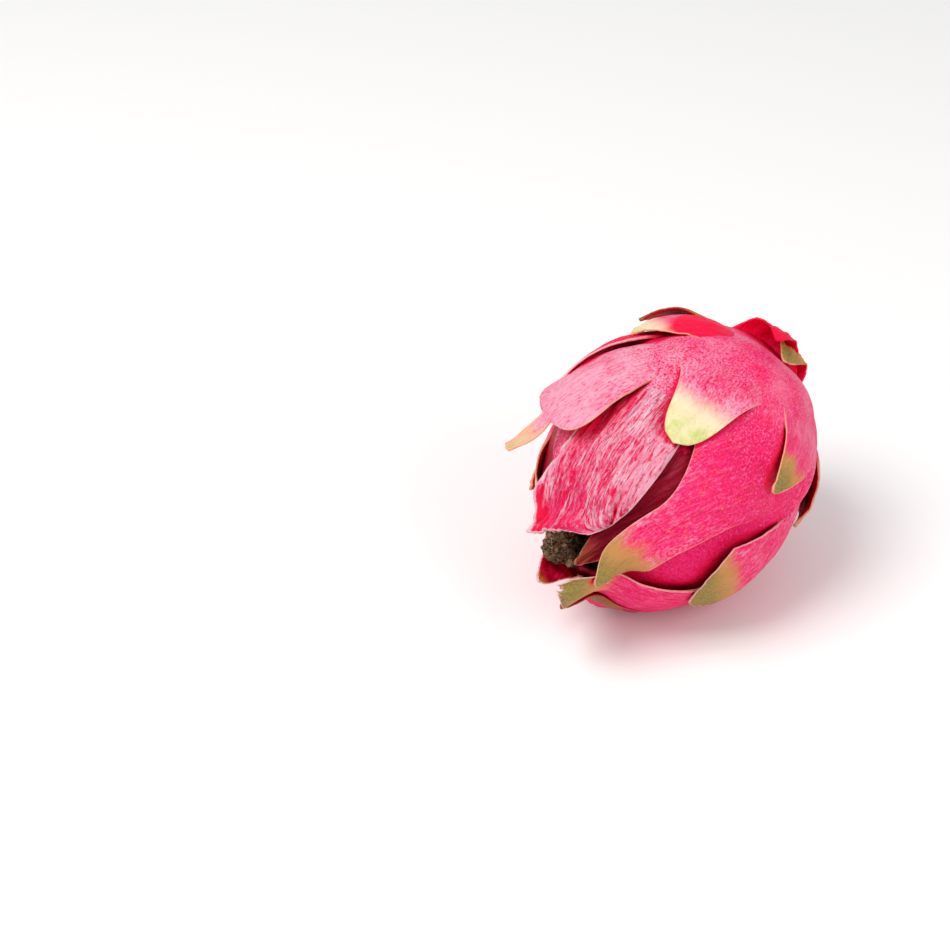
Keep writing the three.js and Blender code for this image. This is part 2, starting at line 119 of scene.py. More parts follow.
USUAL = dict(
    width=30, tongue=12, flare=1, grow=1, hold=1, fall=1.5, blunt=3, round=0.6,
    bulge_left=0, bulge_right=0, tip=3, heading=0, turn=0, late=1, lift=8, end=0,
    cup=1, cup_end=1, ear=0, ear_lift=0, curl=0, wave=0, waves=1.5, pale=0.3,
    pale_end=0.3, pale_left=0.1, pale_right=0.1, red=0, red_to=0.8, red_slant=0,
    shade=0, green=0.8, olive=0.4, rim=0.1, rim_end=0.3, rime=0, wrinkle=0.25,
    scuffs=0, roll_left=0.5, roll_right=0.5, ragged=0, rows=56, columns=32,
)

CROWN_SCALES = [
    dict(name="crown_upper", x=-13, phi=0, length=70, left=74, right=46, tongue=8,
         flare=0.73, grow=0.2, hold=8, fall=0.5, tip=3, corner_left=0, heading=-29,
         turn=-60, late=5, lift=11, end=9, curl=34, cup_end=0.6, wave=1, pale=0.55,
         pale_end=0.6, green=0.87, olive=0.5, rim_end=0.9, wrinkle=0.3, rows=100,
         columns=60),
    dict(name="crown_broad", x=-2, phi=-6, length=69, left=20, right=46, tongue=40,
         hold=1.2, fall=0.9, blunt=7, round=0.5, bulge_left=-13, bulge_right=12, tip=24,
         tip_left=16, tip_right=20, corner_left=0, corner_right=5, ear=5, ear_lift=6,
         heading=-3, turn=-32, late=2, lift=7, end=0, cup_end=0.6, wave=0.8, pale=0.8,
         pale_end=-0.05, pale_left=0.5, pale_right=0.35, green=1.2, rim=0.5, rim_end=0.3,
         rime=0.8, wrinkle=1, roll_left=1.8, ragged=0.004, rows=120, columns=90),
    dict(name="crown_behind", x=-30, phi=-38, length=50, width=40, tongue=14, heading=-18,
         lift=19, end=-6, pale=0.4, pale_end=0.3, red=1, red_to=2, olive=0.5, rime=1,
         rows=80, columns=44),
    dict(name="inner_crown", x=4, phi=55, length=68, width=36, tongue=20, blunt=2.5,
         round=0.8, lift=5, end=-2, pale=0, pale_end=0, pale_left=0, pale_right=0,
         shade=0.8, green=0.9, olive=1, wrinkle=0.5, rows=80, columns=50),
    dict(name="crown_small", x=42, phi=-136, length=29.5, width=22, blunt=2.5, lift=28,
         end=0, pale=0.1, pale_end=0.1, green=0.9, olive=1, rim_end=0.1, rime=1),
    dict(name="under_navel", x=20, phi=168, length=55, width=30, lift=17, end=0, pale=0,
         pale_end=0.2, shade=0.55, green=0.55, olive=1, rim=-1, rim_end=-1),
]
FLANK_SCALES = [
    dict(name="shoulder", x=-24, phi=17, length=50, left=60, right=46, tongue=24, fall=3,
         blunt=4, round=0.5, bulge_left=-5, tip=4, heading=8, turn=2, lift=13, end=0,
         cup_end=1.1, pale=0.35, pale_end=0.4, green=0.7, olive=0, wrinkle=0.12, rows=90,
         columns=70),
    dict(name="flank", x=-8, phi=73, length=81, left=137, right=30, tongue=16,
         tongue_right=35, flare=0.6, hold=1.2, fall=2, blunt=6, bulge_left=-5,
         bulge_right=-10, tip=5, heading=-16, turn=64, late=2.5, lift=10, end=2, wave=0.8,
         pale=0, pale_end=0.15, pale_left=0.3, pale_right=0.15, green=0.8, olive=1,
         wrinkle=0.12, scuffs=0.6, rows=120, columns=70),
    dict(name="side", x=-34, phi=53, length=44, width=30, tongue=12, fall=1.2, tip=5,
         heading=24, turn=-14, lift=18, end=-3, pale=-0.4, pale_end=-0.1, green=0.72,
         olive=1, rows=80, columns=44),
    dict(name="lower_side", x=-16, phi=90, length=56, left=-6, right=30, tongue=42,
         flare=0.62, fall=1, blunt=3.4, bulge_right=2, tip=5, heading=24, lift=14, end=-2,
         cup=1.15, cup_end=1.2, pale=0.1, pale_end=0.2, green=0.7, olive=1, rime=0.6,
         rows=90, columns=50),
    dict(name="under_crown", x=12, phi=132, length=74, left=36, right=70, tongue=18,
         tongue_right=10, fall=0.9, blunt=4, round=0.5, bulge_left=-11, bulge_right=6,
         tip=5, tip_right=3, heading=2, turn=-38, late=1.8, lift=13, end=-6, cup=0.85,
         cup_end=0.7, wave=1, pale=-0.6, pale_end=-0.2, green=0.72, olive=1, rime=0.4,
         ragged=0.04, rows=100, columns=56),
    dict(name="far_side", x=-42, phi=114, length=29, width=34, heading=5, lift=27, end=-16,
         pale=0, pale_end=0, olive=1),
]
STEM_SCALES = [
    dict(name="folded", x=-40, phi=-1, length=39, width=42, tongue=18, blunt=4,
         bulge_right=14, tip=5, heading=-36, turn=2, lift=28, end=-16, cup=1.0, cup_end=1.7,
         pale=1, pale_end=1, red=1, red_to=0.45, red_slant=0.3, green=0.82, olive=0,
         rim_end=0.9, rows=80, columns=50),
    dict(name="behind_folded", x=-44, phi=-30, length=29, width=30, tongue=16, blunt=3.5,
         heading=-20, lift=43, end=-10, pale=0, pale_end=0, red=1, red_to=0.45, shade=0.35,
         green=0.3, olive=1, rim=-1, rim_end=-1),
    dict(name="collar_1", x=-49, phi=9, length=25.5, width=30, heading=20, lift=68, end=-38,
         pale=0, pale_end=0, red=1, red_to=2, green=1.2, rim=-1, rim_end=-0.5, wrinkle=0.4),
    dict(name="collar_2", x=-52, phi=26, length=25, width=24, tongue=14, heading=8, lift=60,
         end=-54, pale=0, pale_end=0, red=1, red_to=2, green=0.66, olive=1, rim=-1,
         rim_end=0.6, wrinkle=0.5),
    dict(name="collar_3", x=-51, phi=62, length=14, width=22, lift=36, end=-40, pale=0,
         pale_end=0, red=1, red_to=2, green=1.2, rim=-1, rim_end=-1, wrinkle=0.5),
]

# The side away from those follows a rule: rings of scales, evenly spaced, each one a little
# different.
BACK_RINGS = [
    dict(x=12, start=-84, step=-39, count=3, length=46, width=40, tongue=14, lift=8, end=0),
    dict(x=-14, start=-100, step=-42, count=3, length=45, width=40, tongue=13, lift=11, end=2),
    dict(x=-36, start=-74, step=-42, count=4, length=36, width=32, tongue=11, lift=14, end=2),
    dict(x=-51, start=-50, step=-58, count=4, length=15, width=22, tongue=10, lift=34, end=-30),
]
BACK_SHIFT = 3              # most that a scale moves along the axis
BACK_SWING = 5              # degrees that it moves and turns
BACK_SIZE = 0.08            # share that it grows or shrinks


def seeded(seed):
    """Numbers from 0 to 1, the same ones each run."""
    state = seed
    while True:
        state = (state * 1664525 + 1013904223) & 0xFFFFFFFF
        yield state / 4294967296


def back_scales():
    random = seeded(11)

    def vary(amount):
        return (2 * next(random) - 1) * amount

    scales = []
    for ring in BACK_RINGS:
        for i in range(ring["count"]):
            scale = {key: ring[key] for key in ("width", "tongue", "lift", "end")}
            scale["name"] = f"back_{len(scales) + 1}"
            scale["x"] = ring["x"] + vary(BACK_SHIFT)
            scale["phi"] = ring["start"] + i * ring["step"] + vary(BACK_SWING)
            scale["length"] = ring["length"] * (1 + vary(BACK_SIZE))
            scale["heading"] = vary(2 * BACK_SWING)
            scales.append(scale)
    for i, scale in enumerate(scales):
        scale["pale"] = 0.1 + 0.4 * (i * 0.618 % 1)
        scale["green"] = 0.66 + 0.2 * (i * 0.414 % 1)
        scale["olive"] = i * 0.732 % 1
        scale["wave"] = 0.8 if scale["length"] > 30 else 0
        scale["wrinkle"] = 0.15 + 0.3 * (i * 0.27 % 1)
    return scales


GROUPS = {
    "crown_scales": CROWN_SCALES,
    "flank_scales": FLANK_SCALES,
    "stem_scales": STEM_SCALES,
    "back_scales": back_scales(),
}

# ---- profile and guide ------------------------------------------------------------------


def smooth(low, high, value):
    share = min(1, max(0, (value - low) / (high - low)))
    return share * share * (3 - 2 * share)


def rind_radius(x):
    half = STEM_HALF if x < 0 else NAVEL_HALF
    return RADIUS * math.sqrt(max(0, 1 - abs(x / half) ** FULLNESS))


def lip_x():
    return NAVEL_HALF * (1 - (MOUTH_RADIUS / RADIUS) ** 2) ** (1 / FULLNESS)


def make_guide():
    """The line, turned round the axis, that the scales follow: the rind's profile, which near
    the flower end runs on as a closing tube."""
    points = []
    for i in range(1, GUIDE_STEPS + 1):
        x = -STEM_HALF * math.cos(i / GUIDE_STEPS * math.pi / 2)
        points.append(Vector((x, rind_radius(x), 0)))
    slope, x = 0, GUIDE_STEP
    while x < GUIDE_END:
        last, radius = points[-1].y, rind_radius(x)
        if radius > CROWN_RADIUS + CROWN_NARROWEST:
            slope = (radius - last) / GUIDE_STEP
        else:
            slope += (CROWN_SLOPE - slope) * CROWN_EASE
            radius = max(last + slope * GUIDE_STEP, CROWN_NARROWEST)
        points.append(Vector((x, radius, 0)))
        x += GUIDE_STEP
    return points


GUIDE = make_guide()
NEAREST = kdtree.KDTree(len(GUIDE))
for place, spot in enumerate(GUIDE):
    NEAREST.insert(spot, place)
NEAREST.balance()


def polar(x, radius, phi):
    return Vector((x, radius * math.sin(phi), radius * math.cos(phi)))


FLATTEST = 0.35             # least run along the axis that the curvature is worked out with
TIGHTEST = 14               # least radius that a scale is cupped to


def guide_frame(point):
    """Axes on the guide nearest to a point: along it, outwards, and round the axis, with the
    rind's radius of curvature round the axis."""
    radius, phi = math.hypot(point.y, point.z), math.atan2(point.y, point.z)
    nearest = NEAREST.find((point.x, radius, 0))[1]
    nearest = min(max(nearest, 1), len(GUIDE) - 2)
    run = (GUIDE[nearest + 1] - GUIDE[nearest - 1]).normalized()
    radial = Vector((0, math.sin(phi), math.cos(phi)))
    axial = Vector((1, 0, 0))
    along = axial * run.x + radial * run.y
    outwards = radial * run.x - axial * run.y
    around = Vector((0, math.cos(phi), -math.sin(phi)))
    return along, outwards, around, max(GUIDE[nearest].y / max(run.x, FLATTEST), TIGHTEST)


# ---- one scale's surface ----------------------------------------------------------------

SPINE_STEPS = 160
THINNING = 0.55             # share by which a scale is thinner at its margins
TEAR_WAVES = (4, 14)        # coarse and fine tears across its end


class Scale:
    """A leafy scale: a sheet swept along a spine that starts under the rind and follows the
    guide. u runs along it, 0 at the root and 1 at the tip, and v across it, -1 to 1."""

    def __init__(self, numbers):
        self.__dict__.update({**USUAL, **numbers})
        for side in ("left", "right"):
            usual = {side: self.width, f"tongue_{side}": self.tongue, f"tip_{side}": self.tip}
            usual[f"corner_{side}"] = self.tip / 2
            for name, value in usual.items():
                setattr(self, name, numbers.get(name, value))
        self.sides = (
            (self.left, self.tongue_left, self.bulge_left, self.tip_left),
            (self.right, self.tongue_right, self.bulge_right, self.tip_right),
        )
        self.seed = self.x * 0.37 + self.phi * 0.11
        root = polar(self.x, rind_radius(self.x), math.radians(self.phi))
        place = root - guide_frame(root)[1] * ROOT_SINK
        self.spine = []
        for i in range(SPINE_STEPS + 1):
            u = max(0, -ROOT_RUN + (1 + ROOT_RUN) * i / SPINE_STEPS)
            along, outwards, around, radius = guide_frame(place)
            lift = self.lift + (self.end - self.lift) * u + self.curl * max(0, 3 * u - 2) ** 2
            lift = math.radians(lift)
            heading = math.radians(self.heading + self.turn * u ** self.late)
            forward = along * math.cos(heading) + around * math.sin(heading)
            across = around * math.cos(heading) - along * math.sin(heading)
            up = outwards * math.cos(lift) - forward * math.sin(lift)
            ahead = forward * math.cos(lift) + outwards * math.sin(lift)
            cup = (self.cup + (self.cup_end - self.cup) * u) / radius
            self.spine.append((place.copy(), across, up, cup))
            place += ahead * self.length * (1 + ROOT_RUN) / SPINE_STEPS

    def station(self, u):
        """Place, sideways and upward axes and curvature of the spine."""
        at = min(max((u + ROOT_RUN) / (1 + ROOT_RUN) * SPINE_STEPS, 0), SPINE_STEPS - 1e-6)
        one, other = self.spine[int(at)], self.spine[int(at) + 1]
        place, across, up = (one[k].lerp(other[k], at % 1) for k in range(3))
        cup = one[3] + (other[3] - one[3]) * (at % 1)
        return place, across.normalized(), up.normalized(), cup

    def half_width(self, u, v):
        wide, narrow, bulge, tip = self.sides[v >= 0]
        tongue = narrow * max(0, 1 - u ** self.blunt) ** self.round
        base = min(u / self.flare, 1)
        spread = self.grow + (1 - self.grow) * base
        flare = (wide - narrow) * spread * max(0, 1 - base ** self.hold) ** self.fall
        return max(tip, tongue + flare + bulge * math.sin(math.pi * u)) / 2

    def thickness(self, u, v):
        body = SHEET + (ROOT_SHEET - SHEET) * (1 - max(0, u)) ** 3
        return body * (1 - THINNING * abs(v) ** 5)

    def surface(self, u, v):
        """A point of the middle surface, and the way outwards there."""
        end = smooth(0.75, 1, u)
        tear = noise.noise(Vector((TEAR_WAVES[0] * v, 1.7, self.seed)))
        tear += 0.6 * noise.noise(Vector((TEAR_WAVES[1] * v, 5.1, self.seed)))
        back = self.corner_left if v < 0 else self.corner_right
        u -= end * (back / self.length * v * v + self.ragged * (0.4 + tear))
        shown = max(0, u)
        middle, across, up, cup = self.station(u)
        reach = v * self.half_width(min(shown, 1), v)
        bow = cup * reach
        outwards = up * math.cos(bow) + across * math.sin(bow)
        place = middle + across * (math.sin(bow) / cup) - up * ((1 - math.cos(bow)) / cup)
        corner = min(0, v) ** 2 * max(0, 4 * shown - 3) ** 2
        place += across.cross(up) * (self.ear * corner) + up * (self.ear_lift * corner)
        phase = 2 * math.pi * self.waves * shown + math.pi * (v + 1) / 2
        height = self.wave * v * v * min(1, 3 * shown) * math.sin(phase)
        roll = self.roll_left if v < 0 else self.roll_right
        height += roll * abs(v) ** 6 * smooth(0.15, 0.6, shown)
        run = shown * self.length
        lines = Vector((reach * 0.3, run * 0.04, self.seed))
        folds = noise.noise(lines) + 0.55 * noise.noise(lines * 2.3)
        folds += 0.25 * noise.noise(Vector((reach * 1.6, run * 0.16, self.seed)))
        height += 2 * self.wrinkle * folds * smooth(0.05, 0.4, shown)
        height += 0.5 * noise.noise(place * 0.09) * smooth(0, 0.3, shown)
        return place + outwards * height, outwards


def all_scales():
    return [Scale(numbers) for group in GROUPS.values() for numbers in group]


# ---- meshes -----------------------------------------------------------------------------


def add_piece(name, bm, material, slot_name, *nodes):
    """Makes a piece of a bmesh that is in millimetres and in the fruit's own frame."""
    bmesh.ops.transform(bm, matrix=TO_FRAME, verts=bm.verts)
    for vert in bm.verts:
        vert.co.z = max(vert.co.z, 0)
    bmesh.ops.recalc_face_normals(bm, faces=bm.faces)
    for face in bm.faces:
        face.smooth = True
    mesh = bpy.data.meshes.new(name)
    bm.to_mesh(mesh)
    bm.free()
    mesh.materials.append(material)
    piece = bpy.data.objects.new(name, mesh)
    bpy.context.scene.collection.objects.link(piece)
    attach(piece, "root")
    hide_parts(*nodes)
    return piece


def spin_profile(bm, profile, steps):
    """Turns (x, radius) points round the X axis into a closed skin."""
    verts = [bm.verts.new((x, 0, radius)) for x, radius in profile]
    edges = [bm.edges.new(pair) for pair in zip(verts, verts[1:])]
    bmesh.ops.spin(
        bm, geom=verts + edges, cent=(0, 0, 0), axis=(1, 0, 0), dvec=(0, 0, 0),
        angle=2 * math.pi, steps=steps, use_merge=True, use_duplicate=False,
    )
    bmesh.ops.remove_doubles(bm, verts=bm.verts, dist=1e-4)
    bmesh.ops.recalc_face_normals(bm, faces=bm.faces)


# Painted shade: rays from each spot of the skin measure how closely the scales and the rind
# cover it, and the skins' material paints shade and a red glow from that.
PAINTED_SHADE_REACH = 18          # only what is nearer than this counts towards the painted shade
PAINTED_SHADE_START = 0.6         # a ray's start above the surface
PAINTED_SHADE_RAYS = [Vector((0, 0, 1))] + [
    Vector((math.sin(tilt) * math.cos(turn), math.sin(tilt) * math.sin(turn), math.cos(tilt)))
    for tilt in (math.radians(45), math.radians(70))
    for turn in (math.radians(60 * i + 15) for i in range(6))
]


@functools.cache
def canopy():
    """All scales and the rind below them, roughly, as a tree to aim at."""
    bm = bmesh.new()
    spin_profile(bm, rind_profile(), 60)
    for scale in all_scales():
        sheet_points(bm, scale, 30, 20, 0.05, 1, 0)
    tree = BVHTree.FromBMesh(bm)
    bm.free()
    return tree


def painted_occlusion(point, outwards):
    """How much lies close over a spot, 0 to 1; the skins paint shade and a red glow by it."""
    side = outwards.orthogonal().normalized()
    other = outwards.cross(side)
    start = point + outwards * PAINTED_SHADE_START
    covered = 0
    for ray in PAINTED_SHADE_RAYS:
        way = side * ray.x + other * ray.y + outwards * ray.z
        distance = canopy().ray_cast(start, way, PAINTED_SHADE_REACH)[3]
        if distance is not None:
            covered += 1 - distance / PAINTED_SHADE_REACH
    return covered / len(PAINTED_SHADE_RAYS)


PAINT = ("rim", "rime", "green", "olive", "pale", "red", "shade", "wrinkle", "scuffs", "seed")
GREEN_EASE = 0.2            # share of a scale's length over which it turns green
RED_EASE = 0.15             # and half of that over which it stops being red


def paint(scale, u, v):
    """What the skin's material has to know of a spot of a scale, in the order of PAINT."""
    shown = min(max(u, 0), 1)
    margin = min((1 - abs(v)) * scale.half_width(shown, v), (1 - u) * scale.length)
    rim = scale.rim + (scale.rim_end - scale.rim) * shown * shown
    side = scale.pale_left if v < 0 else scale.pale_right
    pale = scale.pale + (scale.pale_end - scale.pale) * shown
    pale += side * v * v * smooth(0.2, 0.6, shown)
    # painted glow: the material paints this red in the colour of light shining through the skin
    red = smooth(RED_EASE, -RED_EASE, shown - scale.red_to - scale.red_slant * v)
    return (
        margin - rim, scale.rime, (u - scale.green) / GREEN_EASE, scale.olive, pale,
        scale.red * red, scale.shade, scale.wrinkle, scale.scuffs, scale.seed,
    )


def grow_scale(bm, scale):
    """Adds a scale to a bmesh: a grid, doubled into an outer and an inner face."""
    layers = {
        name: bm.verts.layers.float.get(name) or bm.verts.layers.float.new(name)
        for name in ("along", "across", "inner", "painted_occlusion", *PAINT)
    }
    skin = bm.loops.layers.uv.get("Skin") or bm.loops.layers.uv.new("Skin")
    grid = bmesh.ops.create_grid(bm, x_segments=scale.rows, y_segments=scale.columns, size=1)
    grid = set(grid["verts"])
    faces = [face for face in bm.faces if face.verts[0] in grid]
    for vert in grid:
        u = (vert.co.x + 1) / 2
        vert[layers["along"]] = -ROOT_RUN + (1 + ROOT_RUN) * (1 - (1 - u) ** 1.5)
        vert[layers["across"]] = math.sin(vert.co.y * 1.3) / math.sin(1.3)
    doubled = bmesh.ops.extrude_face_region(bm, geom=faces, use_keep_orig=True)["geom"]
    outer = {item for item in doubled if isinstance(item, bmesh.types.BMVert)}
    for vert in grid | outer:
        u, v = vert[layers["along"]], vert[layers["across"]]
        middle, outwards = scale.surface(u, v)
        side = 1 if vert in outer else -1
        vert.co = middle + outwards * (side * scale.thickness(u, v) / 2)
        vert[layers["inner"]] = 0 if vert in outer else 1
        # painted shade: how closely other scales cover this face, for the material to paint
        # shade and a red glow by
        vert[layers["painted_occlusion"]] = painted_occlusion(vert.co, outwards * side)
        for name, value in zip(PAINT, paint(scale, u, v)):
            vert[layers[name]] = value
        reach = v * scale.half_width(min(max(u, 0), 1), v)
        for loop in vert.link_loops:
            loop[skin].uv = (u * scale.length / 100 + 0.2, reach / 100 + 0.5)


def make_scales(name, material):
    bm = bmesh.new()
    for numbers in GROUPS[name]:
        grow_scale(bm, Scale(numbers))
    return add_piece(name, bm, material, "rind", "fruit")


# ---- rind -------------------------------------------------------------------------------

RIND_RINGS = 170
RIND_AROUND = 250
MEET_FULL = 0.14            # up to this share of a scale the rind meets its outer face
MEET_END = 0.32             # and from this share on it lies free below it
SKIN_STEP = 0.15            # how far below a scale the rind stays there
RIND_PALE = 0.65            # how frosted the rind is, against the scales near it
BELOW = 1                   # a ray's start below the rind
ROOT_REACH = 6              # furthest that it looks for a scale's root
CEILING_REACH = 9           # and for another scale above


def rind_profile():
    start = math.acos(math.sqrt(1 - (1.2 * SCAR_RADIUS / RADIUS) ** 2) ** (2 / FULLNESS))
    lip = lip_x()
    floor = -STEM_HALF + SCAR_DEPTH
    points = [(floor, 0), (floor, 0.5 * SCAR_RADIUS), (floor, SCAR_RADIUS)]
    for i in range(RIND_RINGS + 1):
        angle = start + (math.pi - 2 * start) * i / RIND_RINGS
        x = -math.cos(angle) * (STEM_HALF if angle < math.pi / 2 else NAVEL_HALF)
        if x < lip - 0.6:
            points.append((x, rind_radius(x)))
    points += [(lip, MOUTH_RADIUS), (lip + 0.35, MOUTH_RADIUS - 0.5)]
    points += [(lip + 0.4, MOUTH_RADIUS - 1.1), (lip, MOUTH_RADIUS - 1.7)]
    points += [(lip - 0.8, MOUTH_RADIUS - 2), (lip - 3, NAVEL_FLOOR + 1.2)]
    points += [(lip - 0.6 * NAVEL_DEPTH, NAVEL_FLOOR + 0.8)]
    points += [(lip - 0.85 * NAVEL_DEPTH, NAVEL_FLOOR)]
    points += [(lip - NAVEL_DEPTH, NAVEL_FLOOR - 1.5), (lip - NAVEL_DEPTH, NAVEL_FLOOR / 2)]
    return points + [(lip - NAVEL_DEPTH, 0)]


def swing(scale, phi):
    """How far round the axis a place is from the root of a scale."""
    return math.radians((math.degrees(phi) - scale.phi + 540) % 360 - 180)


def cushion(scale, x, phi):
    """The swelling that carries a scale, highest just behind its root."""
    around = swing(scale, phi) * rind_radius(scale.x)
    heading = math.radians(scale.heading)
    along = x - scale.x
    u = along * math.cos(heading) + around * math.sin(heading)
    v = around * math.cos(heading) - along * math.sin(heading)
    reach = (CUSHION_BACK if u < 0 else CUSHION_AHEAD) * scale.length
    power = (u / reach) ** 2 + (v / (CUSHION_SIDE * (scale.left + scale.right))) ** 2
    return CUSHION * math.exp(-power) if power < 9 else 0


def rind_height(x, phi, scales):
    height = LUMP * (math.sin(3 * phi + 0.06 * x) + 0.6 * math.sin(5 * phi - 0.09 * x + 1))
    return height + sum(cushion(scale, x, phi) for scale in scales)


def rind_pale(x, phi, scales):
    """Near the roots of the scales the rind is as pale as they are."""
    total, weights = 0.0, 0.1
    for scale in scales:
        around = swing(scale, phi) * rind_radius(x)
        apart = math.hypot(x - scale.x, around) / (0.4 * scale.length)
        if apart < 2.5:
            weight = math.exp(-apart * apart)
            total, weights = total + weight * scale.pale, weights + weight
    return RIND_PALE * total / weights


def sheet_points(bm, scale, rows, columns, start, end, offset):
    """Adds part of a scale's sheet to a bmesh, as a grid, and gives u and v of its vertices."""
    shares = {}
    for vert in bmesh.ops.create_grid(bm, x_segments=rows, y_segments=columns, size=1)["verts"]:
        u, v = start + (end - start) * (vert.co.x + 1) / 2, vert.co.y
        middle, outwards = scale.surface(u, v)
        vert.co = middle + outwards * (offset * scale.thickness(u, v) / 2)
        shares[vert] = (u, v)
    return shares


def root_tree(scale):
    """The outer face of a scale's root as a tree to aim at, with u and v of each face."""
    bm = bmesh.new()
    shares = sheet_points(bm, scale, 14, 18, -ROOT_RUN, MEET_END, 1)
    bm.faces.ensure_lookup_table()
    at_face = [
        [sum(shares[vert][k] for vert in face.verts) / 4 for k in (0, 1)] for face in bm.faces
    ]
    tree = BVHTree.FromBMesh(bm)
    bm.free()
    return tree, at_face


def ceiling_tree(scales):
    """The inner faces of all that stands free of the rind, as a tree to aim at."""
    bm = bmesh.new()
    for scale in scales:
        sheet_points(bm, scale, 24, 16, MEET_END - 0.02, 1, -1)
    tree = BVHTree.FromBMesh(bm)
    bm.free()
    return tree


def meet_scales(bm, scales):
    """Raises the rind to the outer face of each scale's root, so that the scale grows out,
    but nowhere into another scale above."""
    bm.normal_update()
    ceiling = ceiling_tree(scales)
    rises = {}
    for scale in scales:
        tree, shares = root_tree(scale)
        middle = scale.station(MEET_END / 3)[0]
        reach = 0.3 * scale.length + 0.55 * max(scale.left, scale.right)
        for vert in bm.verts:
            if (vert.co - middle).length > reach:
                continue
            start = vert.co - vert.normal * BELOW
            hit, _, index, distance = tree.ray_cast(start, vert.normal, ROOT_REACH)
            if hit is None or distance < BELOW:
                continue
            u, v = shares[index]
            share = 1 - smooth(MEET_FULL, MEET_END - 0.03, u)
            share *= 1 - 0.7 * smooth(0.7, 1, abs(v))
            rises[vert] = max(rises.get(vert, 0), (distance - BELOW - SKIN_STEP) * share)
    for vert, rise in rises.items():
        start = vert.co - vert.normal * BELOW
        above = ceiling.ray_cast(start, vert.normal, CEILING_REACH)[3]
        if above is not None:
            rise = min(rise, above - BELOW - SKIN_STEP)
        vert.co += vert.normal * max(0, rise)
    moved = set(rises)
    for _ in range(3):
        moved |= {edge.other_vert(vert) for vert in moved for edge in vert.link_edges}
    for _ in range(4):
        bmesh.ops.smooth_vert(
            bm, verts=list(moved), factor=0.5, use_axis_x=True, use_axis_y=True, use_axis_z=True
        )


def make_rind(material):
    scales = all_scales()
    bm = bmesh.new()
    spin_profile(bm, rind_profile(), RIND_AROUND)
    layers = {name: bm.verts.layers.float.new(name) for name in ("hollow", "pale", "painted_occlusion")}
    lip = lip_x()
    for vert in bm.verts:
        radius, phi = math.hypot(vert.co.y, vert.co.z), math.atan2(vert.co.y, vert.co.z)
        flower_end = vert.co.x > 0
        if flower_end:
            # the navel's hollow, which the skin paints near black as shade
            vert[layers["hollow"]] = smooth(MOUTH_RADIUS + 0.5, MOUTH_RADIUS - 2, radius)
        if (flower_end and radius < MOUTH_RADIUS - 0.8) or radius < 1.15 * SCAR_RADIUS:
            continue
        fade = max(0, min(1, (lip - vert.co.x) / 8, (vert.co.x + STEM_HALF) / 6))
        height = fade * rind_height(vert.co.x, phi, scales)
        height += 0.35 * noise.noise(vert.co * 0.11) + 0.12 * noise.noise(vert.co * 0.4)
        vert[layers["pale"]] = rind_pale(vert.co.x, phi, scales)
        vert.co += guide_frame(vert.co)[1] * height
    meet_scales(bm, scales)
    bm.normal_update()
    for vert in bm.verts:
        # painted shade: how closely the scales cover the rind here, for the material to paint
        # shade and a red glow by
        vert[layers["painted_occlusion"]] = painted_occlusion(vert.co, vert.normal)
    return add_piece("rind", bm, material, "rind", "fruit")


# ---- dried flower and stem stub ---------------------------------------------------------

FLOWER_RADIUS = NAVEL_FLOOR - 2.4
FLOWER_HEIGHT = 8           # of the crumbly base, above the navel's floor
FLOWER_SIDE = -100          # degrees; most of it has stayed on this side
FLOWER_HEAP = 9             # rise of its top towards that side
FLOWER_DRY = Vector((0.63, -0.78, 0))   # dry and brown on this side
FLOWER_SHADE = (7, 11)        # and painted black, as shade, from so far to so far past it
CRUMBS = 90
STRANDS = 40                # withered stamens
FLAPS = 15                  # withered petal ends
FLAP_SHEET = 0.35           # their thickness
NOISE_SEED = 1              # 0 would draw the vector noise anew each run


def heaped(point):
    """Shifts a point of the withered flower up and out on the side where it has stayed."""
    side = polar(0, 1, math.radians(FLOWER_SIDE))
    rise = FLOWER_HEAP * max(0, point.dot(side) / FLOWER_RADIUS + 0.2)
    return point + side * (0.4 * rise) + Vector((rise, 0, 0))


def roughen(verts, amount, size, seed):
    """Moves vertices by noise, in millimetres."""
    for vert in verts:
        shift = noise.noise_vector(vert.co / size + Vector((seed, 0, 0)))
        vert.co += shift * amount


def add_crumb(bm, centre, size, seed):
    turn = Matrix.Rotation(seed, 4, "X") @ Matrix.Rotation(2 * seed, 4, "Y")
    stretch = Matrix.Diagonal((1.3, 0.8, 1, 1))
    made = bmesh.ops.create_icosphere(
        bm, subdivisions=3, radius=size, matrix=Matrix.Translation(centre) @ turn @ stretch
    )
    roughen(made["verts"], 0.7 * size, 0.9 * size, seed)


def add_strand(bm, foot, ahead, length, thickness, seed):
    """A withered stamen: a grid rolled into a thin rod that wanders and closes at its ends."""
    grid = bmesh.ops.create_grid(bm, x_segments=12, y_segments=6, size=1)["verts"]
    turn = ahead.to_track_quat("Z", "Y").to_matrix()
    for vert in grid:
        u, angle = (vert.co.x + 1) / 2, math.pi * vert.co.y
        radius = thickness * math.sqrt(1 - u) * min(1, 20 * u)
        sway = noise.noise_vector(Vector((seed, 1.3 * u, 4.2))) * length * 0.5 * u
        x, y = radius * math.cos(angle) + sway.x, radius * math.sin(angle) + sway.y
        vert.co = foot + turn @ Vector((x, y, u * length))
    bmesh.ops.remove_doubles(bm, verts=grid, dist=1e-4)


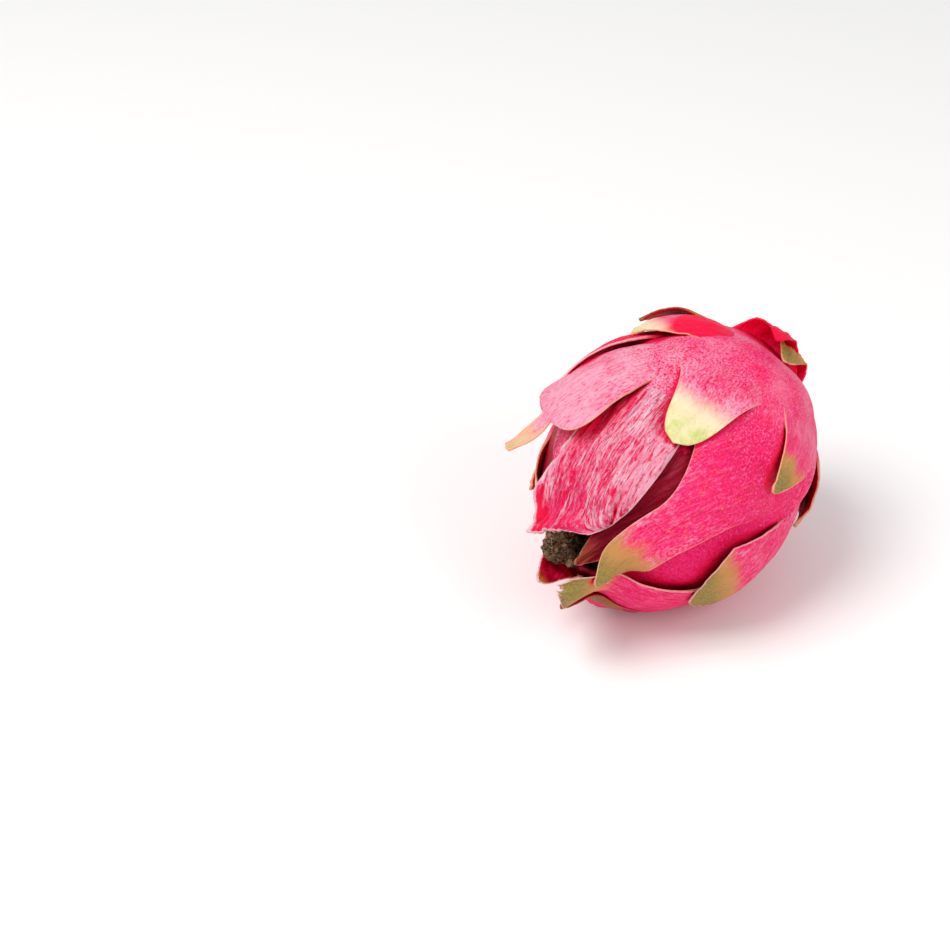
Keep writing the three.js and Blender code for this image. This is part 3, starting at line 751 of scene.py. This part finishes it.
def add_flap(bm, foot, ahead, face, length, width, seed):
    """A withered petal end: a thin crumpled tongue."""
    grid = bmesh.ops.create_grid(bm, x_segments=16, y_segments=10, size=1)["verts"]
    faces = list(dict.fromkeys(face for vert in grid for face in vert.link_faces))
    across = ahead.cross(face).normalized()
    for vert in grid:
        u, v = (vert.co.x + 1) / 2, vert.co.y
        reach = 0.5 * width * v * (1 - u ** 2.2) ** 0.6
        crumple = noise.noise(Vector((3 * u + seed, 1.6 * v, seed)))
        crumple += 0.5 * noise.noise(Vector((8 * u, 4 * v, seed)))
        curl = 0.25 * width * v * v + 0.3 * length * u * u * math.sin(seed)
        vert.co = foot + ahead * (u * length) + across * reach + face * (curl + 0.8 * crumple)
    doubled = bmesh.ops.extrude_face_region(bm, geom=faces, use_keep_orig=True)["geom"]
    outer = [item for item in doubled if isinstance(item, bmesh.types.BMVert)]
    bmesh.ops.translate(bm, verts=outer, vec=face * FLAP_SHEET)


def make_dried_flower(material):
    random = seeded(5)
    noise.seed_set(NOISE_SEED)
    base = lip_x() - NAVEL_DEPTH + GAP
    side = math.radians(FLOWER_SIDE)
    bm = bmesh.new()
    profile = [(base, 0), (base, 0.9 * FLOWER_RADIUS), (base + 0.5, FLOWER_RADIUS)]
    profile += [(base + 0.6 * FLOWER_HEIGHT, FLOWER_RADIUS + 0.5)]
    profile += [(base + 0.9 * FLOWER_HEIGHT, 0.8 * FLOWER_RADIUS)]
    profile += [(base + 0.85 * FLOWER_HEIGHT, 0.4 * FLOWER_RADIUS)]
    profile += [(base + 0.8 * FLOWER_HEIGHT, 0)]
    spin_profile(bm, profile, 48)
    bmesh.ops.subdivide_edges(bm, edges=bm.edges, cuts=3, use_grid_fill=True)
    for vert in bm.verts:
        if vert.co.x > base + 1:
            rough = 1.3 * noise.noise(vert.co * 0.6) + 0.6 * noise.noise(vert.co * 1.7)
            vert.co = heaped(vert.co) + Vector((rough, 0, 0))
    for i in range(CRUMBS):
        phi = side + math.radians(150 * (next(random) - 0.5))
        out = FLOWER_RADIUS * (0.3 + 0.7 * math.sqrt(next(random)))
        height = base + FLOWER_HEIGHT * (0.75 + 0.35 * next(random))
        size = 1 + 1.2 * next(random) ** 1.5
        add_crumb(bm, heaped(polar(height, out, phi)), size, 3 * i + 0.5)
    for i in range(STRANDS):
        phi = side + math.radians(140 * (next(random) - 0.5))
        out = FLOWER_RADIUS * (0.2 + 0.7 * next(random))
        foot = heaped(polar(base + 0.8 * FLOWER_HEIGHT, out, phi))
        ahead = Vector((1, 1.1 * (next(random) - 0.5), 1.1 * (next(random) - 0.5))).normalized()
        add_strand(bm, foot, ahead, 3 + 3 * next(random), 0.2 + 0.16 * next(random), 7.3 * i)
    for i in range(FLAPS):
        phi = side + math.radians(130 * (i / (FLAPS - 1) - 0.5) + 12 * (next(random) - 0.5))
        out = FLOWER_RADIUS * (0.5 + 0.3 * next(random))
        foot = heaped(polar(base + 0.7 * FLOWER_HEIGHT, out, phi))
        ahead = (Vector((1, 0, 0)) + polar(0, 0.6 * next(random) - 0.2, phi)).normalized()
        length, width = 3 + 3 * next(random), 3 + 2 * next(random)
        add_flap(bm, foot, ahead, polar(0, 1, phi), length, width, 1.7 * i)
    # painted shade: the parts of the flower away from its heaped, dry side, deeper in the
    # navel, are painted black
    hollow_shade = bm.verts.layers.float.new("hollow_shade")
    reach = sorted(vert.co.dot(FLOWER_DRY) for vert in bm.verts)
    driest = reach[int(0.97 * len(reach))]      # stray strands left out
    for vert in bm.verts:
        vert[hollow_shade] = smooth(*FLOWER_SHADE, driest - vert.co.dot(FLOWER_DRY))
    return add_piece("dried_flower", bm, material, "dried_flower", "dried_flower")


STUB_RADIUS = SCAR_RADIUS - 2 * GAP
STUB_END = 5.5              # past the stem end of the rind
STUB_WING = 0.5             # the stem has three low wings
STUB_STEPS = 15


def make_stem_stub(material):
    inner, end = -STEM_HALF + SCAR_DEPTH - GAP, -STEM_HALF - STUB_END
    bm = bmesh.new()
    profile = [(end + 0.25, 0), (end, 0.25 * STUB_RADIUS), (end + 0.2, 0.5 * STUB_RADIUS)]
    profile += [(end, 0.78 * STUB_RADIUS), (end + 0.15, 0.9 * STUB_RADIUS)]
    profile += [(end + 0.5, 0.94 * STUB_RADIUS)]
    for i in range(1, STUB_STEPS):
        x = end + 0.5 + (inner - end - 0.8) * i / STUB_STEPS
        waist = math.sin(math.pi * i / STUB_STEPS)
        profile.append((x, STUB_RADIUS * (0.94 + 0.06 * i / STUB_STEPS - 0.12 * waist)))
    profile += [(inner - 0.3, STUB_RADIUS), (inner, 0.9 * STUB_RADIUS), (inner, 0)]
    spin_profile(bm, profile, 96)
    for vert in bm.verts:
        phi = math.atan2(vert.co.y, vert.co.z)
        fibre = noise.noise(Vector((0.12 * vert.co.x, 3 * math.sin(phi), 3 * math.cos(phi))))
        shrink = 1 - STUB_WING * (1 - math.cos(3 * phi)) / STUB_RADIUS + 0.08 * fibre
        vert.co.y *= shrink
        vert.co.z *= shrink
        vert.co.x += 0.25 * noise.noise(vert.co * 1.1)
    return add_piece("stem_stub", bm, material, "stem", "stem_stub")


# ---- materials --------------------------------------------------------------------------


class Finish:
    """A material whose nodes are made one after the other."""

    def __init__(self, name):
        self.material = bpy.data.materials.new(name)
        self.material.use_nodes = True
        self.tree = self.material.node_tree
        self.shader = self.tree.nodes["Principled BSDF"]

    def node(self, kind, settings=None, **inputs):
        made = self.tree.nodes.new("ShaderNode" + kind)
        for key, value in (settings or {}).items():
            setattr(made, key, value)
        for key, value in inputs.items():
            self.put(made.inputs[key.replace("_", " ")], value)
        return made

    def put(self, socket, value):
        if isinstance(value, bpy.types.NodeSocket):
            self.tree.links.new(value, socket)
        elif hasattr(value, "__len__") and socket.type == "RGBA":
            socket.default_value = (*value[:3], 1)
        else:
            socket.default_value = value

    def attribute(self, name):
        return self.node("Attribute", {"attribute_name": name}).outputs["Fac"]

    def math(self, kind, one, other):
        made = self.node("Math", {"operation": kind})
        self.put(made.inputs[0], one)
        self.put(made.inputs[1], other)
        return made.outputs[0]

    def plus(self, one, other):
        return self.math("ADD", one, other)

    def times(self, one, other):
        return self.math("MULTIPLY", one, other)

    def ramp(self, value, low, high, out_low=0.0, out_high=1.0):
        made = self.node(
            "MapRange", {"interpolation_type": "SMOOTHSTEP"}, Value=value, From_Min=low,
            From_Max=high, To_Min=out_low, To_Max=out_high,
        )
        return made.outputs[0]

    def noise(self, place, scale, detail=3.0, roughness=0.55, distortion=0.0):
        made = self.node(
            "TexNoise", None, Vector=place, Scale=scale, Detail=detail, Roughness=roughness,
            Distortion=distortion,
        )
        return made.outputs["Fac"]

    def stretch(self, place, factors):
        made = self.node("VectorMath", {"operation": "MULTIPLY"})
        self.put(made.inputs[0], place)
        self.put(made.inputs[1], factors)
        return made.outputs[0]

    def mix(self, share, one, other):
        made = self.node("Mix", {"data_type": "RGBA"})
        self.put(made.inputs[0], share)
        self.put(made.inputs[6], one)
        self.put(made.inputs[7], other)
        return made.outputs[2]

    def blend(self, share, one, other):
        """Like mix, for numbers."""
        made = self.node("Mix", {"data_type": "FLOAT"})
        self.put(made.inputs[0], share)
        self.put(made.inputs[2], one)
        self.put(made.inputs[3], other)
        return made.outputs[0]

    def bump(self, height, distance, normal=None):
        made = self.node("Bump", None, Height=height, Distance=distance)
        if normal:
            self.put(made.inputs["Normal"], normal)
        return made.outputs[0]

    def finish(self, **inputs):
        for key, value in inputs.items():
            self.put(self.shader.inputs[key.replace("_", " ")], value)
        return self.material


TENTHS = (10, 10, 10)       # turn metres into tenths of a metre
MILLIMETRES = (1000, 1000, 1000)
LEVEL = (0, -TILT, 0)       # turns the fruit's axis back to level
# painted shade of the navel's hollow, near black
PIT_SHADE_DARK = (0.004, 0.001, 0.001)
PIT_SHADE_LIGHT = (0.05, 0.012, 0.008)


def fruit_place(finish):
    """Where a spot is in the fruit, in tenths of a metre, first number along its axis."""
    coordinates = finish.node("TexCoord").outputs["Object"]
    turned = finish.node("Mapping", None, Vector=coordinates, Rotation=LEVEL)
    return finish.stretch(turned.outputs[0], TENTHS)


def scale_place(finish):
    """Where a spot is on its scale, in tenths of a metre, first number along the scale."""
    chart = finish.node("UVMap", {"uv_map": "Skin"}).outputs[0]
    parts = finish.node("SeparateXYZ", None, Vector=chart)
    made = finish.node(
        "CombineXYZ", None, X=parts.outputs[0], Y=parts.outputs[1], Z=finish.attribute("seed")
    )
    return made.outputs[0]


def make_skin(name, leafy):
    """Waxy magenta skin with a fine speckle, frosted in places, with painted shade and a
    painted red glow where scales lie close over it. A leafy one also has a green end, a light
    rim and a deep red inner face darkened with painted shade."""
    tints = bpy.context.scene.dragon_fruit_skin
    finish = Finish(name)
    everywhere = fruit_place(finish)
    place = scale_place(finish) if leafy else everywhere
    grain = 0.1 / tints.grain
    along_fruit = finish.node("SeparateXYZ", None, Vector=everywhere).outputs[0]
    calm = finish.ramp(along_fruit, -0.08, -0.4, 0, 0.95)
    speckle = finish.noise(everywhere, grain, 3, 0.7)
    patches = finish.noise(everywhere, 22, 4, 0.65)
    clouds = finish.noise(everywhere, 8, 3, 0.5)
    dashes = speckle
    if leafy:
        free = finish.ramp(finish.attribute("along"), 0.12, 0.4)
        lengthwise = finish.noise(finish.stretch(place, (0.4, 1, 1)), grain, 4, 0.75, 0.3)
        dashes = finish.blend(free, speckle, lengthwise)
    lines = finish.noise(finish.stretch(place, (0.13, 1, 1)), 1.1 * grain, 3, 0.6, 0.4)
    creases = finish.noise(finish.stretch(place, (0.1, 1, 1)), 18, 4, 0.6, 0.6)
    painted_occlusion, pale = finish.attribute("painted_occlusion"), finish.attribute("pale")
    if leafy:
        # red scales take only a little of the painted shade
        spared = finish.ramp(finish.attribute("red"), 0, 1, 1, 0.15)
        painted_occlusion = finish.times(painted_occlusion, spared)

    colour = finish.mix(finish.ramp(speckle, 0.36, 0.64), tints.deep, tints.hot)
    colour = finish.mix(finish.ramp(patches, 0.45, 0.75, 0, 0.6), colour, tints.crimson)
    frost = finish.times(pale, finish.ramp(clouds, 0.3, 0.7, 0.7, 1.25))
    # no frost where the painted shade lies
    frost = finish.times(frost, finish.ramp(painted_occlusion, 0.05, 0.35, 1, 0.1))
    light = finish.plus(dashes, finish.times(frost, 0.5))
    light = finish.plus(light, finish.times(patches, -0.2))
    soft = finish.plus(finish.times(clouds, 0.6), finish.times(dashes, 0.4))
    share = finish.blend(
        calm, finish.ramp(light, 0.44, 0.78, 0, 0.8), finish.ramp(soft, 0.36, 0.66, 0, 0.42)
    )
    colour = finish.mix(share, colour, tints.lilac)
    if leafy:
        wrinkle = finish.attribute("wrinkle")
        # painted highlight along the ridges of the lengthwise wrinkles, and painted shade in
        # their furrows, on the same lines as the bump
        painted_ridge_highlight = finish.times(finish.ramp(lines, 0.48, 0.64, 0, 0.75), wrinkle)
        painted_ridge_highlight = finish.times(painted_ridge_highlight, finish.ramp(creases, 0.36, 0.58, 0.3, 1))
        colour = finish.mix(painted_ridge_highlight, colour, tints.frost)
        painted_furrow_shade = finish.times(finish.ramp(lines, 0.46, 0.34), wrinkle)
        colour = finish.mix(painted_furrow_shade, colour, tints.crimson)
    dark = finish.times(finish.ramp(dashes, 0.46, 0.32), finish.ramp(frost, 0, 0.4, 0.35, 0.7))
    colour = finish.mix(dark, colour, tints.violet)

    if leafy:
        colour = leafy_parts(finish, tints, colour, speckle, patches, creases)
    # painted shade: close under other scales the skin is painted the red of light shining
    # through them, and in deep gaps dark crimson
    colour = finish.mix(finish.ramp(painted_occlusion, 0.06, 0.32, 0, 0.8), colour, tints.glow)
    colour = finish.mix(finish.ramp(painted_occlusion, 0.3, 0.62, 0, 0.94), colour, tints.inside)
    if leafy:
        # painted shade: scales given a shade are painted towards dark wine all over
        colour = finish.mix(finish.attribute("shade"), colour, tints.shade)
        colour = leafy_rim(finish, tints, colour, speckle)
    else:
        # painted shade: the navel's hollow is painted near black
        pit_shade = finish.mix(speckle, PIT_SHADE_DARK, PIT_SHADE_LIGHT)
        colour = finish.mix(finish.attribute("hollow"), colour, pit_shade)

    height = finish.plus(finish.times(speckle, 0.6), finish.times(dashes, 0.5))
    normal = finish.bump(height, 0.0004)
    if leafy:
        folds = finish.times(lines, finish.attribute("wrinkle"))
        normal = finish.bump(folds, 0.0016, normal)
    normal = finish.bump(creases, 0.0012, normal)
    return finish.finish(
        Base_Color=colour, Normal=normal, Roughness=finish.ramp(speckle, 0.3, 0.7, 0.4, 0.56),
        Specular_IOR_Level=0.1, Subsurface_Weight=0.15,
        Subsurface_Radius=(0.003, 0.0005, 0.0006), Subsurface_Scale=0.6,
    )


def leafy_parts(finish, tints, colour, speckle, patches, creases):
    """Red root (painted glow), scuffs, green end and inner face (darkened with painted shade)
    of a scale, over the colour of its face.
    """
    # painted glow: bright red towards the root, in the colour of light shining through the skin
    colour = finish.mix(finish.ramp(finish.attribute("red"), 0.1, 0.5), colour, tints.glow)
    scuffs = finish.plus(patches, finish.times(finish.attribute("scuffs"), 0.2))
    broken = finish.ramp(speckle, 0.35, 0.6, 0.2, 0.8)
    scuffs = finish.times(finish.ramp(scuffs, 0.74, 0.84), broken)
    colour = finish.mix(scuffs, colour, tints.scuff)

    olive = finish.attribute("olive")
    uneven = finish.plus(finish.times(creases, 0.8), finish.times(patches, 0.5))
    reach = finish.plus(finish.attribute("green"), finish.math("SUBTRACT", uneven, 0.65))
    between = finish.mix(olive, tints.cream, tints.tan)
    first = finish.ramp(olive, 0, 1, -0.9, -0.55)
    colour = finish.mix(finish.ramp(reach, first, 0.2, 0, 0.92), colour, between)
    blotch = finish.ramp(speckle, 0.38, 0.62)
    fresh = finish.mix(finish.ramp(patches, 0.35, 0.65, 0, 0.7), tints.leaf, tints.cream)
    dull = finish.mix(blotch, tints.olive, tints.bark)
    green = finish.mix(olive, fresh, dull)
    colour = finish.mix(finish.ramp(reach, 0, 0.9, 0, 0.95), colour, green)
    colour = finish.mix(finish.ramp(speckle, 0.42, 0.3, 0, 0.25), colour, tints.bark)

    # inner face: crimson, darkened in patches with painted shade
    face = finish.mix(finish.ramp(patches, 0.35, 0.7), tints.inside, tints.crimson)
    # painted glow on the inner face as well
    face = finish.mix(finish.ramp(finish.attribute("red"), 0.1, 0.5), face, tints.glow)
    face = finish.mix(finish.ramp(reach, -0.2, 0.8, 0, 0.9), face, tints.ochre)
    return finish.mix(finish.attribute("inner"), colour, face)


def leafy_rim(finish, tints, colour, speckle):
    """The thin light rim of a scale, over the colour of its face."""
    rim = finish.plus(finish.attribute("rim"), finish.times(speckle, 0.5))
    rim = finish.ramp(rim, 0.4, 0.05, 0, 0.8)
    rim = finish.times(rim, finish.ramp(finish.attribute("along"), 0.1, 0.3))
    # a scale painted with shade has a dimmer rim
    rim = finish.times(rim, finish.ramp(finish.attribute("shade"), 0, 1, 1, 0.2))
    edge = finish.mix(finish.attribute("rime"), tints.rim, tints.frost)
    return finish.mix(rim, colour, edge)


def make_husk(name):
    """Dry, crumbly brown of the withered flower."""
    tints = bpy.context.scene.dragon_fruit_dry
    finish = Finish(name)
    place = finish.stretch(finish.node("TexCoord").outputs["Object"], MILLIMETRES)
    patches = finish.noise(place, 0.35, 4, 0.65)
    specks = finish.noise(place, 1.7, 3, 0.6)
    colour = finish.mix(finish.ramp(patches, 0.35, 0.62), tints.black, tints.husk)
    colour = finish.mix(finish.ramp(specks, 0.48, 0.68, 0, 0.8), colour, tints.straw)
    # painted shade: black where the flower lies deep in the navel
    colour = finish.mix(finish.times(finish.attribute("hollow_shade"), 0.9), colour, tints.black)
    normal = finish.bump(specks, 0.0006)
    return finish.finish(
        Base_Color=colour, Normal=normal, Roughness=0.9, Specular_IOR_Level=0.2
    )


def make_stalk(name):
    """Green-brown fibrous stem."""
    tints = bpy.context.scene.dragon_fruit_dry
    finish = Finish(name)
    coordinates = finish.node("TexCoord").outputs["Object"]
    turned = finish.node("Mapping", None, Vector=coordinates, Rotation=LEVEL).outputs[0]
    place = finish.stretch(turned, MILLIMETRES)
    fibres = finish.noise(finish.stretch(place, (0.15, 1, 1)), 1.1, 4, 0.6)
    patches = finish.noise(place, 0.35, 3)
    colour = finish.mix(finish.ramp(fibres, 0.35, 0.65), tints.stalk, tints.husk)
    colour = finish.mix(finish.ramp(patches, 0.4, 0.7, 0, 0.7), colour, tints.straw)
    normal = finish.bump(fibres, 0.0008)
    return finish.finish(
        Base_Color=colour, Normal=normal, Roughness=0.75, Specular_IOR_Level=0.3
    )


# ---- properties -------------------------------------------------------------------------


def tint(name, description, red, green, blue):
    """A colour that a user may change; the numbers are linear."""
    return FloatVectorProperty(
        name=name, description=description, default=(red, green, blue), subtype="COLOR",
        min=0, max=1,
    )


class DRAGON_FRUIT_PG_skin(bpy.types.PropertyGroup):
    grain: FloatProperty(
        name="Grain", description="Size of the spots of the speckle", default=0.0008,
        min=0.0002, max=0.01, unit="LENGTH", precision=4,
    )
    deep: tint("Deep pink", "Darker half of the speckle", 0.72, 0.002, 0.065)
    hot: tint("Hot pink", "Lighter half of the speckle", 0.96, 0.026, 0.22)
    crimson: tint("Crimson", "Redder patches in the skin", 0.84, 0.004, 0.06)
    violet: tint("Violet", "Dark specks between the frost", 0.56, 0.012, 0.13)
    lilac: tint("Lilac", "Frosted spots", 0.92, 0.44, 0.58)
    # painted highlight along the wrinkles' ridges; on rims it is their real pale colour
    frost: tint("Frost", "Light streaks along the wrinkles, and pale rims", 0.95, 0.60, 0.70)
    glow: tint("Red", "Skin in light that has come through other scales", 0.92, 0.002, 0.055)
    # painted shade: dark crimson for the inner face of a scale and for deep gaps
    inside: tint("Inside", "Inner face of a scale, and deep gaps", 0.33, 0.001, 0.012)
    # painted shade: a scale that lies in shade is painted towards this dark wine
    shade: tint("Wine", "Scale that never saw the sun", 0.21, 0.003, 0.013)
    scuff: tint("Scuff", "Scuffed spots", 0.90, 0.36, 0.20)
    cream: tint("Cream", "Where pink turns to fresh green", 0.90, 0.75, 0.50)
    leaf: tint("Leaf green", "Fresh green end of a scale", 0.52, 0.60, 0.17)
    tan: tint("Tan", "Where pink turns to dull green", 0.56, 0.29, 0.08)
    olive: tint("Olive", "Dull green end of a scale", 0.36, 0.29, 0.045)
    bark: tint("Brown", "Dried end of a scale", 0.25, 0.16, 0.075)
    ochre: tint("Ochre", "Inner face at the end", 0.55, 0.30, 0.04)
    rim: tint("Rim", "Thin margin of a scale", 0.84, 0.42, 0.28)


class DRAGON_FRUIT_PG_dry(bpy.types.PropertyGroup):
    black: tint("Black", "Rotten and shaded parts", 0.010, 0.005, 0.004)
    husk: tint("Husk", "Withered flower", 0.24, 0.125, 0.07)
    straw: tint("Straw", "Light flakes of flower and stem", 0.42, 0.29, 0.17)
    stalk: tint("Stalk", "Skin of the stem", 0.20, 0.24, 0.08)


class DRAGON_FRUIT_PG_stage(bpy.types.PropertyGroup):
    azimuth: FloatProperty(
        name="Azimuth", description="Side that the camera looks from", subtype="ANGLE",
        default=math.radians(129),
    )
    tilt: FloatProperty(
        name="Tilt", description="Angle of the camera's axis below the horizon",
        subtype="ANGLE", default=math.radians(34),
    )
    sun: FloatProperty(
        name="Key light", description="Power of the large light", default=15.5, min=0,
        unit="POWER",
    )
    sky: FloatProperty(
        name="Sky", description="Strength of the even light", default=0.54, min=0,
    )
    floor: tint("Floor", "Colour of the floor", 0.92, 0.92, 0.92)


# ---- operators --------------------------------------------------------------------------


def skin_material(leafy):
    name = "scale_skin" if leafy else "rind_skin"
    return bpy.data.materials.get(name) or make_skin(name, leafy)


class DRAGON_FRUIT_OT_rind(bpy.types.Operator):
    """Make the rind, with the hollow of the navel and the pocket of the stem"""

    bl_idname = "dragon_fruit.rind"
    bl_label = "Rind"

    def execute(self, context):
        make_rind(skin_material(False))
        return {"FINISHED"}


class DRAGON_FRUIT_OT_crown_scales(bpy.types.Operator):
    """Make the scales that close in over the flower end"""

    bl_idname = "dragon_fruit.crown_scales"
    bl_label = "Crown Scales"

    def execute(self, context):
        make_scales("crown_scales", skin_material(True))
        return {"FINISHED"}


class DRAGON_FRUIT_OT_flank_scales(bpy.types.Operator):
    """Make the scales of the shoulder and the flank"""

    bl_idname = "dragon_fruit.flank_scales"
    bl_label = "Flank Scales"

    def execute(self, context):
        make_scales("flank_scales", skin_material(True))
        return {"FINISHED"}


class DRAGON_FRUIT_OT_stem_scales(bpy.types.Operator):
    """Make the folded and puckered scales near the stem"""

    bl_idname = "dragon_fruit.stem_scales"
    bl_label = "Stem Scales"

    def execute(self, context):
        make_scales("stem_scales", skin_material(True))
        return {"FINISHED"}


class DRAGON_FRUIT_OT_back_scales(bpy.types.Operator):
    """Make the rings of scales on the far side"""

    bl_idname = "dragon_fruit.back_scales"
    bl_label = "Back Scales"

    def execute(self, context):
        make_scales("back_scales", skin_material(True))
        return {"FINISHED"}


class DRAGON_FRUIT_OT_dried_flower(bpy.types.Operator):
    """Make the withered remains of the flower in the navel"""

    bl_idname = "dragon_fruit.dried_flower"
    bl_label = "Dried Flower"

    def execute(self, context):
        make_dried_flower(make_husk("husk"))
        return {"FINISHED"}


class DRAGON_FRUIT_OT_stem_stub(bpy.types.Operator):
    """Make the stub of the cut stem"""

    bl_idname = "dragon_fruit.stem_stub"
    bl_label = "Stem Stub"

    def execute(self, context):
        make_stem_stub(make_stalk("stalk"))
        return {"FINISHED"}


class DRAGON_FRUIT_OT_stage(bpy.types.Operator):
    """Make the floor, the lights and the camera"""

    bl_idname = "dragon_fruit.stage"
    bl_label = "Stage"

    def execute(self, context):
        stage = context.scene.dragon_fruit_stage
        make_floor(stage)
        make_lights(stage)
        make_camera(stage)
        return {"FINISHED"}


# ---- stage ------------------------------------------------------------------------------

AIM = CENTRE * MM           # the point that the camera's place is given from
CAMERA_SIDE = 0.0715        # the camera stands this far to the left of that point, in metres
CAMERA_BACK = 0.7123        # this far from it towards the viewer
CAMERA_UP = 0.4758          # and this far above it
LENS = 91.6
SENSOR = 36
NEAR, FAR = 0.01, 20
KEY_PLACE = (-0.7, 0.35, 1.25)  # right of the fruit, towards the viewer, and above
KEY_SIZE = 0.9
KEY_COLOUR = (1, 0.99, 0.97)
FILL_PLACE = (0.9, 0.8, 0.7)
FILL_SIZE = 1.2
FILL_SHARE = 0.42           # of the key light's power
FILL_COLOUR = (1, 0.98, 0.97)
FLOOR_HALF = 6
FLOOR_DROP = 0.0001         # below the fruit's lowest place
FLOOR_FLECK = (0.8, 0.8, 0.8)


def seen_from(azimuth, right, back, up):
    """A place so many metres to the right of the fruit, from it towards the viewer, and
    above it."""
    ahead = Vector((-math.sin(azimuth), math.cos(azimuth), 0))
    sideways = Vector((math.cos(azimuth), math.sin(azimuth), 0))
    return AIM + sideways * right - ahead * back + Vector((0, 0, up))


def make_floor(stage):
    bm = bmesh.new()
    bmesh.ops.create_grid(bm, x_segments=1, y_segments=1, size=FLOOR_HALF)
    bmesh.ops.translate(bm, verts=bm.verts, vec=(0, 0, -FLOOR_DROP))
    mesh = bpy.data.meshes.new("floor")
    bm.to_mesh(mesh)
    bm.free()
    finish = Finish("floor")
    grain = finish.noise(finish.node("TexCoord").outputs["Object"], 40, 2)
    colour = finish.mix(finish.times(grain, 0.04), stage.floor, FLOOR_FLECK)
    material = finish.finish(Base_Color=colour, Roughness=0.7, Specular_IOR_Level=0.2)
    mesh.materials.append(material)
    floor = bpy.data.objects.new("floor", mesh)
    bpy.context.scene.collection.objects.link(floor)


def add_light(name, place, size, power, colour):
    light = bpy.data.lights.new(name, "AREA")
    light.shape = "DISK"
    light.size = size
    light.energy = power
    light.color = colour
    lamp = bpy.data.objects.new(name, light)
    lamp.location = place
    lamp.rotation_mode = "QUATERNION"
    lamp.rotation_quaternion = (AIM - place).to_track_quat("-Z", "Y")
    bpy.context.scene.collection.objects.link(lamp)


def make_lights(stage):
    key, fill = (seen_from(stage.azimuth, *place) for place in (KEY_PLACE, FILL_PLACE))
    add_light("key", key, KEY_SIZE, stage.sun, KEY_COLOUR)
    add_light("fill", fill, FILL_SIZE, FILL_SHARE * stage.sun, FILL_COLOUR)
    world = bpy.data.worlds.new("sky")
    world.use_nodes = True
    background = world.node_tree.nodes["Background"]
    background.inputs["Color"].default_value = (1, 1, 1, 1)
    background.inputs["Strength"].default_value = stage.sky
    bpy.context.scene.world = world


def make_camera(stage):
    data = bpy.data.cameras.new("camera")
    data.lens, data.sensor_width = LENS, SENSOR
    data.clip_start, data.clip_end = NEAR, FAR
    camera = bpy.data.objects.new("camera", data)
    camera.location = seen_from(stage.azimuth, -CAMERA_SIDE, CAMERA_BACK, CAMERA_UP)
    camera.rotation_euler = (math.pi / 2 - stage.tilt, 0, stage.azimuth)
    bpy.context.scene.collection.objects.link(camera)
    bpy.context.scene.camera = camera


# ---- panel and registration -------------------------------------------------------------

PIECES = (
    DRAGON_FRUIT_OT_rind, DRAGON_FRUIT_OT_crown_scales, DRAGON_FRUIT_OT_flank_scales,
    DRAGON_FRUIT_OT_stem_scales, DRAGON_FRUIT_OT_back_scales, DRAGON_FRUIT_OT_dried_flower,
    DRAGON_FRUIT_OT_stem_stub, DRAGON_FRUIT_OT_stage,
)
SETTINGS = {
    "dragon_fruit_skin": DRAGON_FRUIT_PG_skin,
    "dragon_fruit_dry": DRAGON_FRUIT_PG_dry,
    "dragon_fruit_stage": DRAGON_FRUIT_PG_stage,
}


class DRAGON_FRUIT_PT_panel(bpy.types.Panel):
    bl_label = "Dragon Fruit"
    bl_idname = "DRAGON_FRUIT_PT_panel"
    bl_space_type = "VIEW_3D"
    bl_region_type = "UI"
    bl_category = "Dragon Fruit"

    def draw(self, context):
        column = self.layout.column()
        for operator in PIECES:
            column.operator(operator.bl_idname)
        for name in SETTINGS:
            group = getattr(context.scene, name)
            for key in group.__annotations__:
                column.prop(group, key)


CLASSES = (*SETTINGS.values(), *PIECES, DRAGON_FRUIT_PT_panel)


def register():
    for one in CLASSES:
        bpy.utils.register_class(one)
    for name, group in SETTINGS.items():
        setattr(bpy.types.Scene, name, PointerProperty(type=group))


def unregister():
    for name in SETTINGS:
        delattr(bpy.types.Scene, name)
    for one in reversed(CLASSES):
        bpy.utils.unregister_class(one)


def main():
    register()
    bpy.ops.dragon_fruit.rind()
    bpy.ops.dragon_fruit.crown_scales()
    bpy.ops.dragon_fruit.flank_scales()
    bpy.ops.dragon_fruit.stem_scales()
    bpy.ops.dragon_fruit.back_scales()
    bpy.ops.dragon_fruit.dried_flower()
    bpy.ops.dragon_fruit.stem_stub()
    bpy.ops.dragon_fruit.stage()
    bpy.context.scene.view_settings.view_transform = "Standard"


if __name__ == "__main__":
    main()
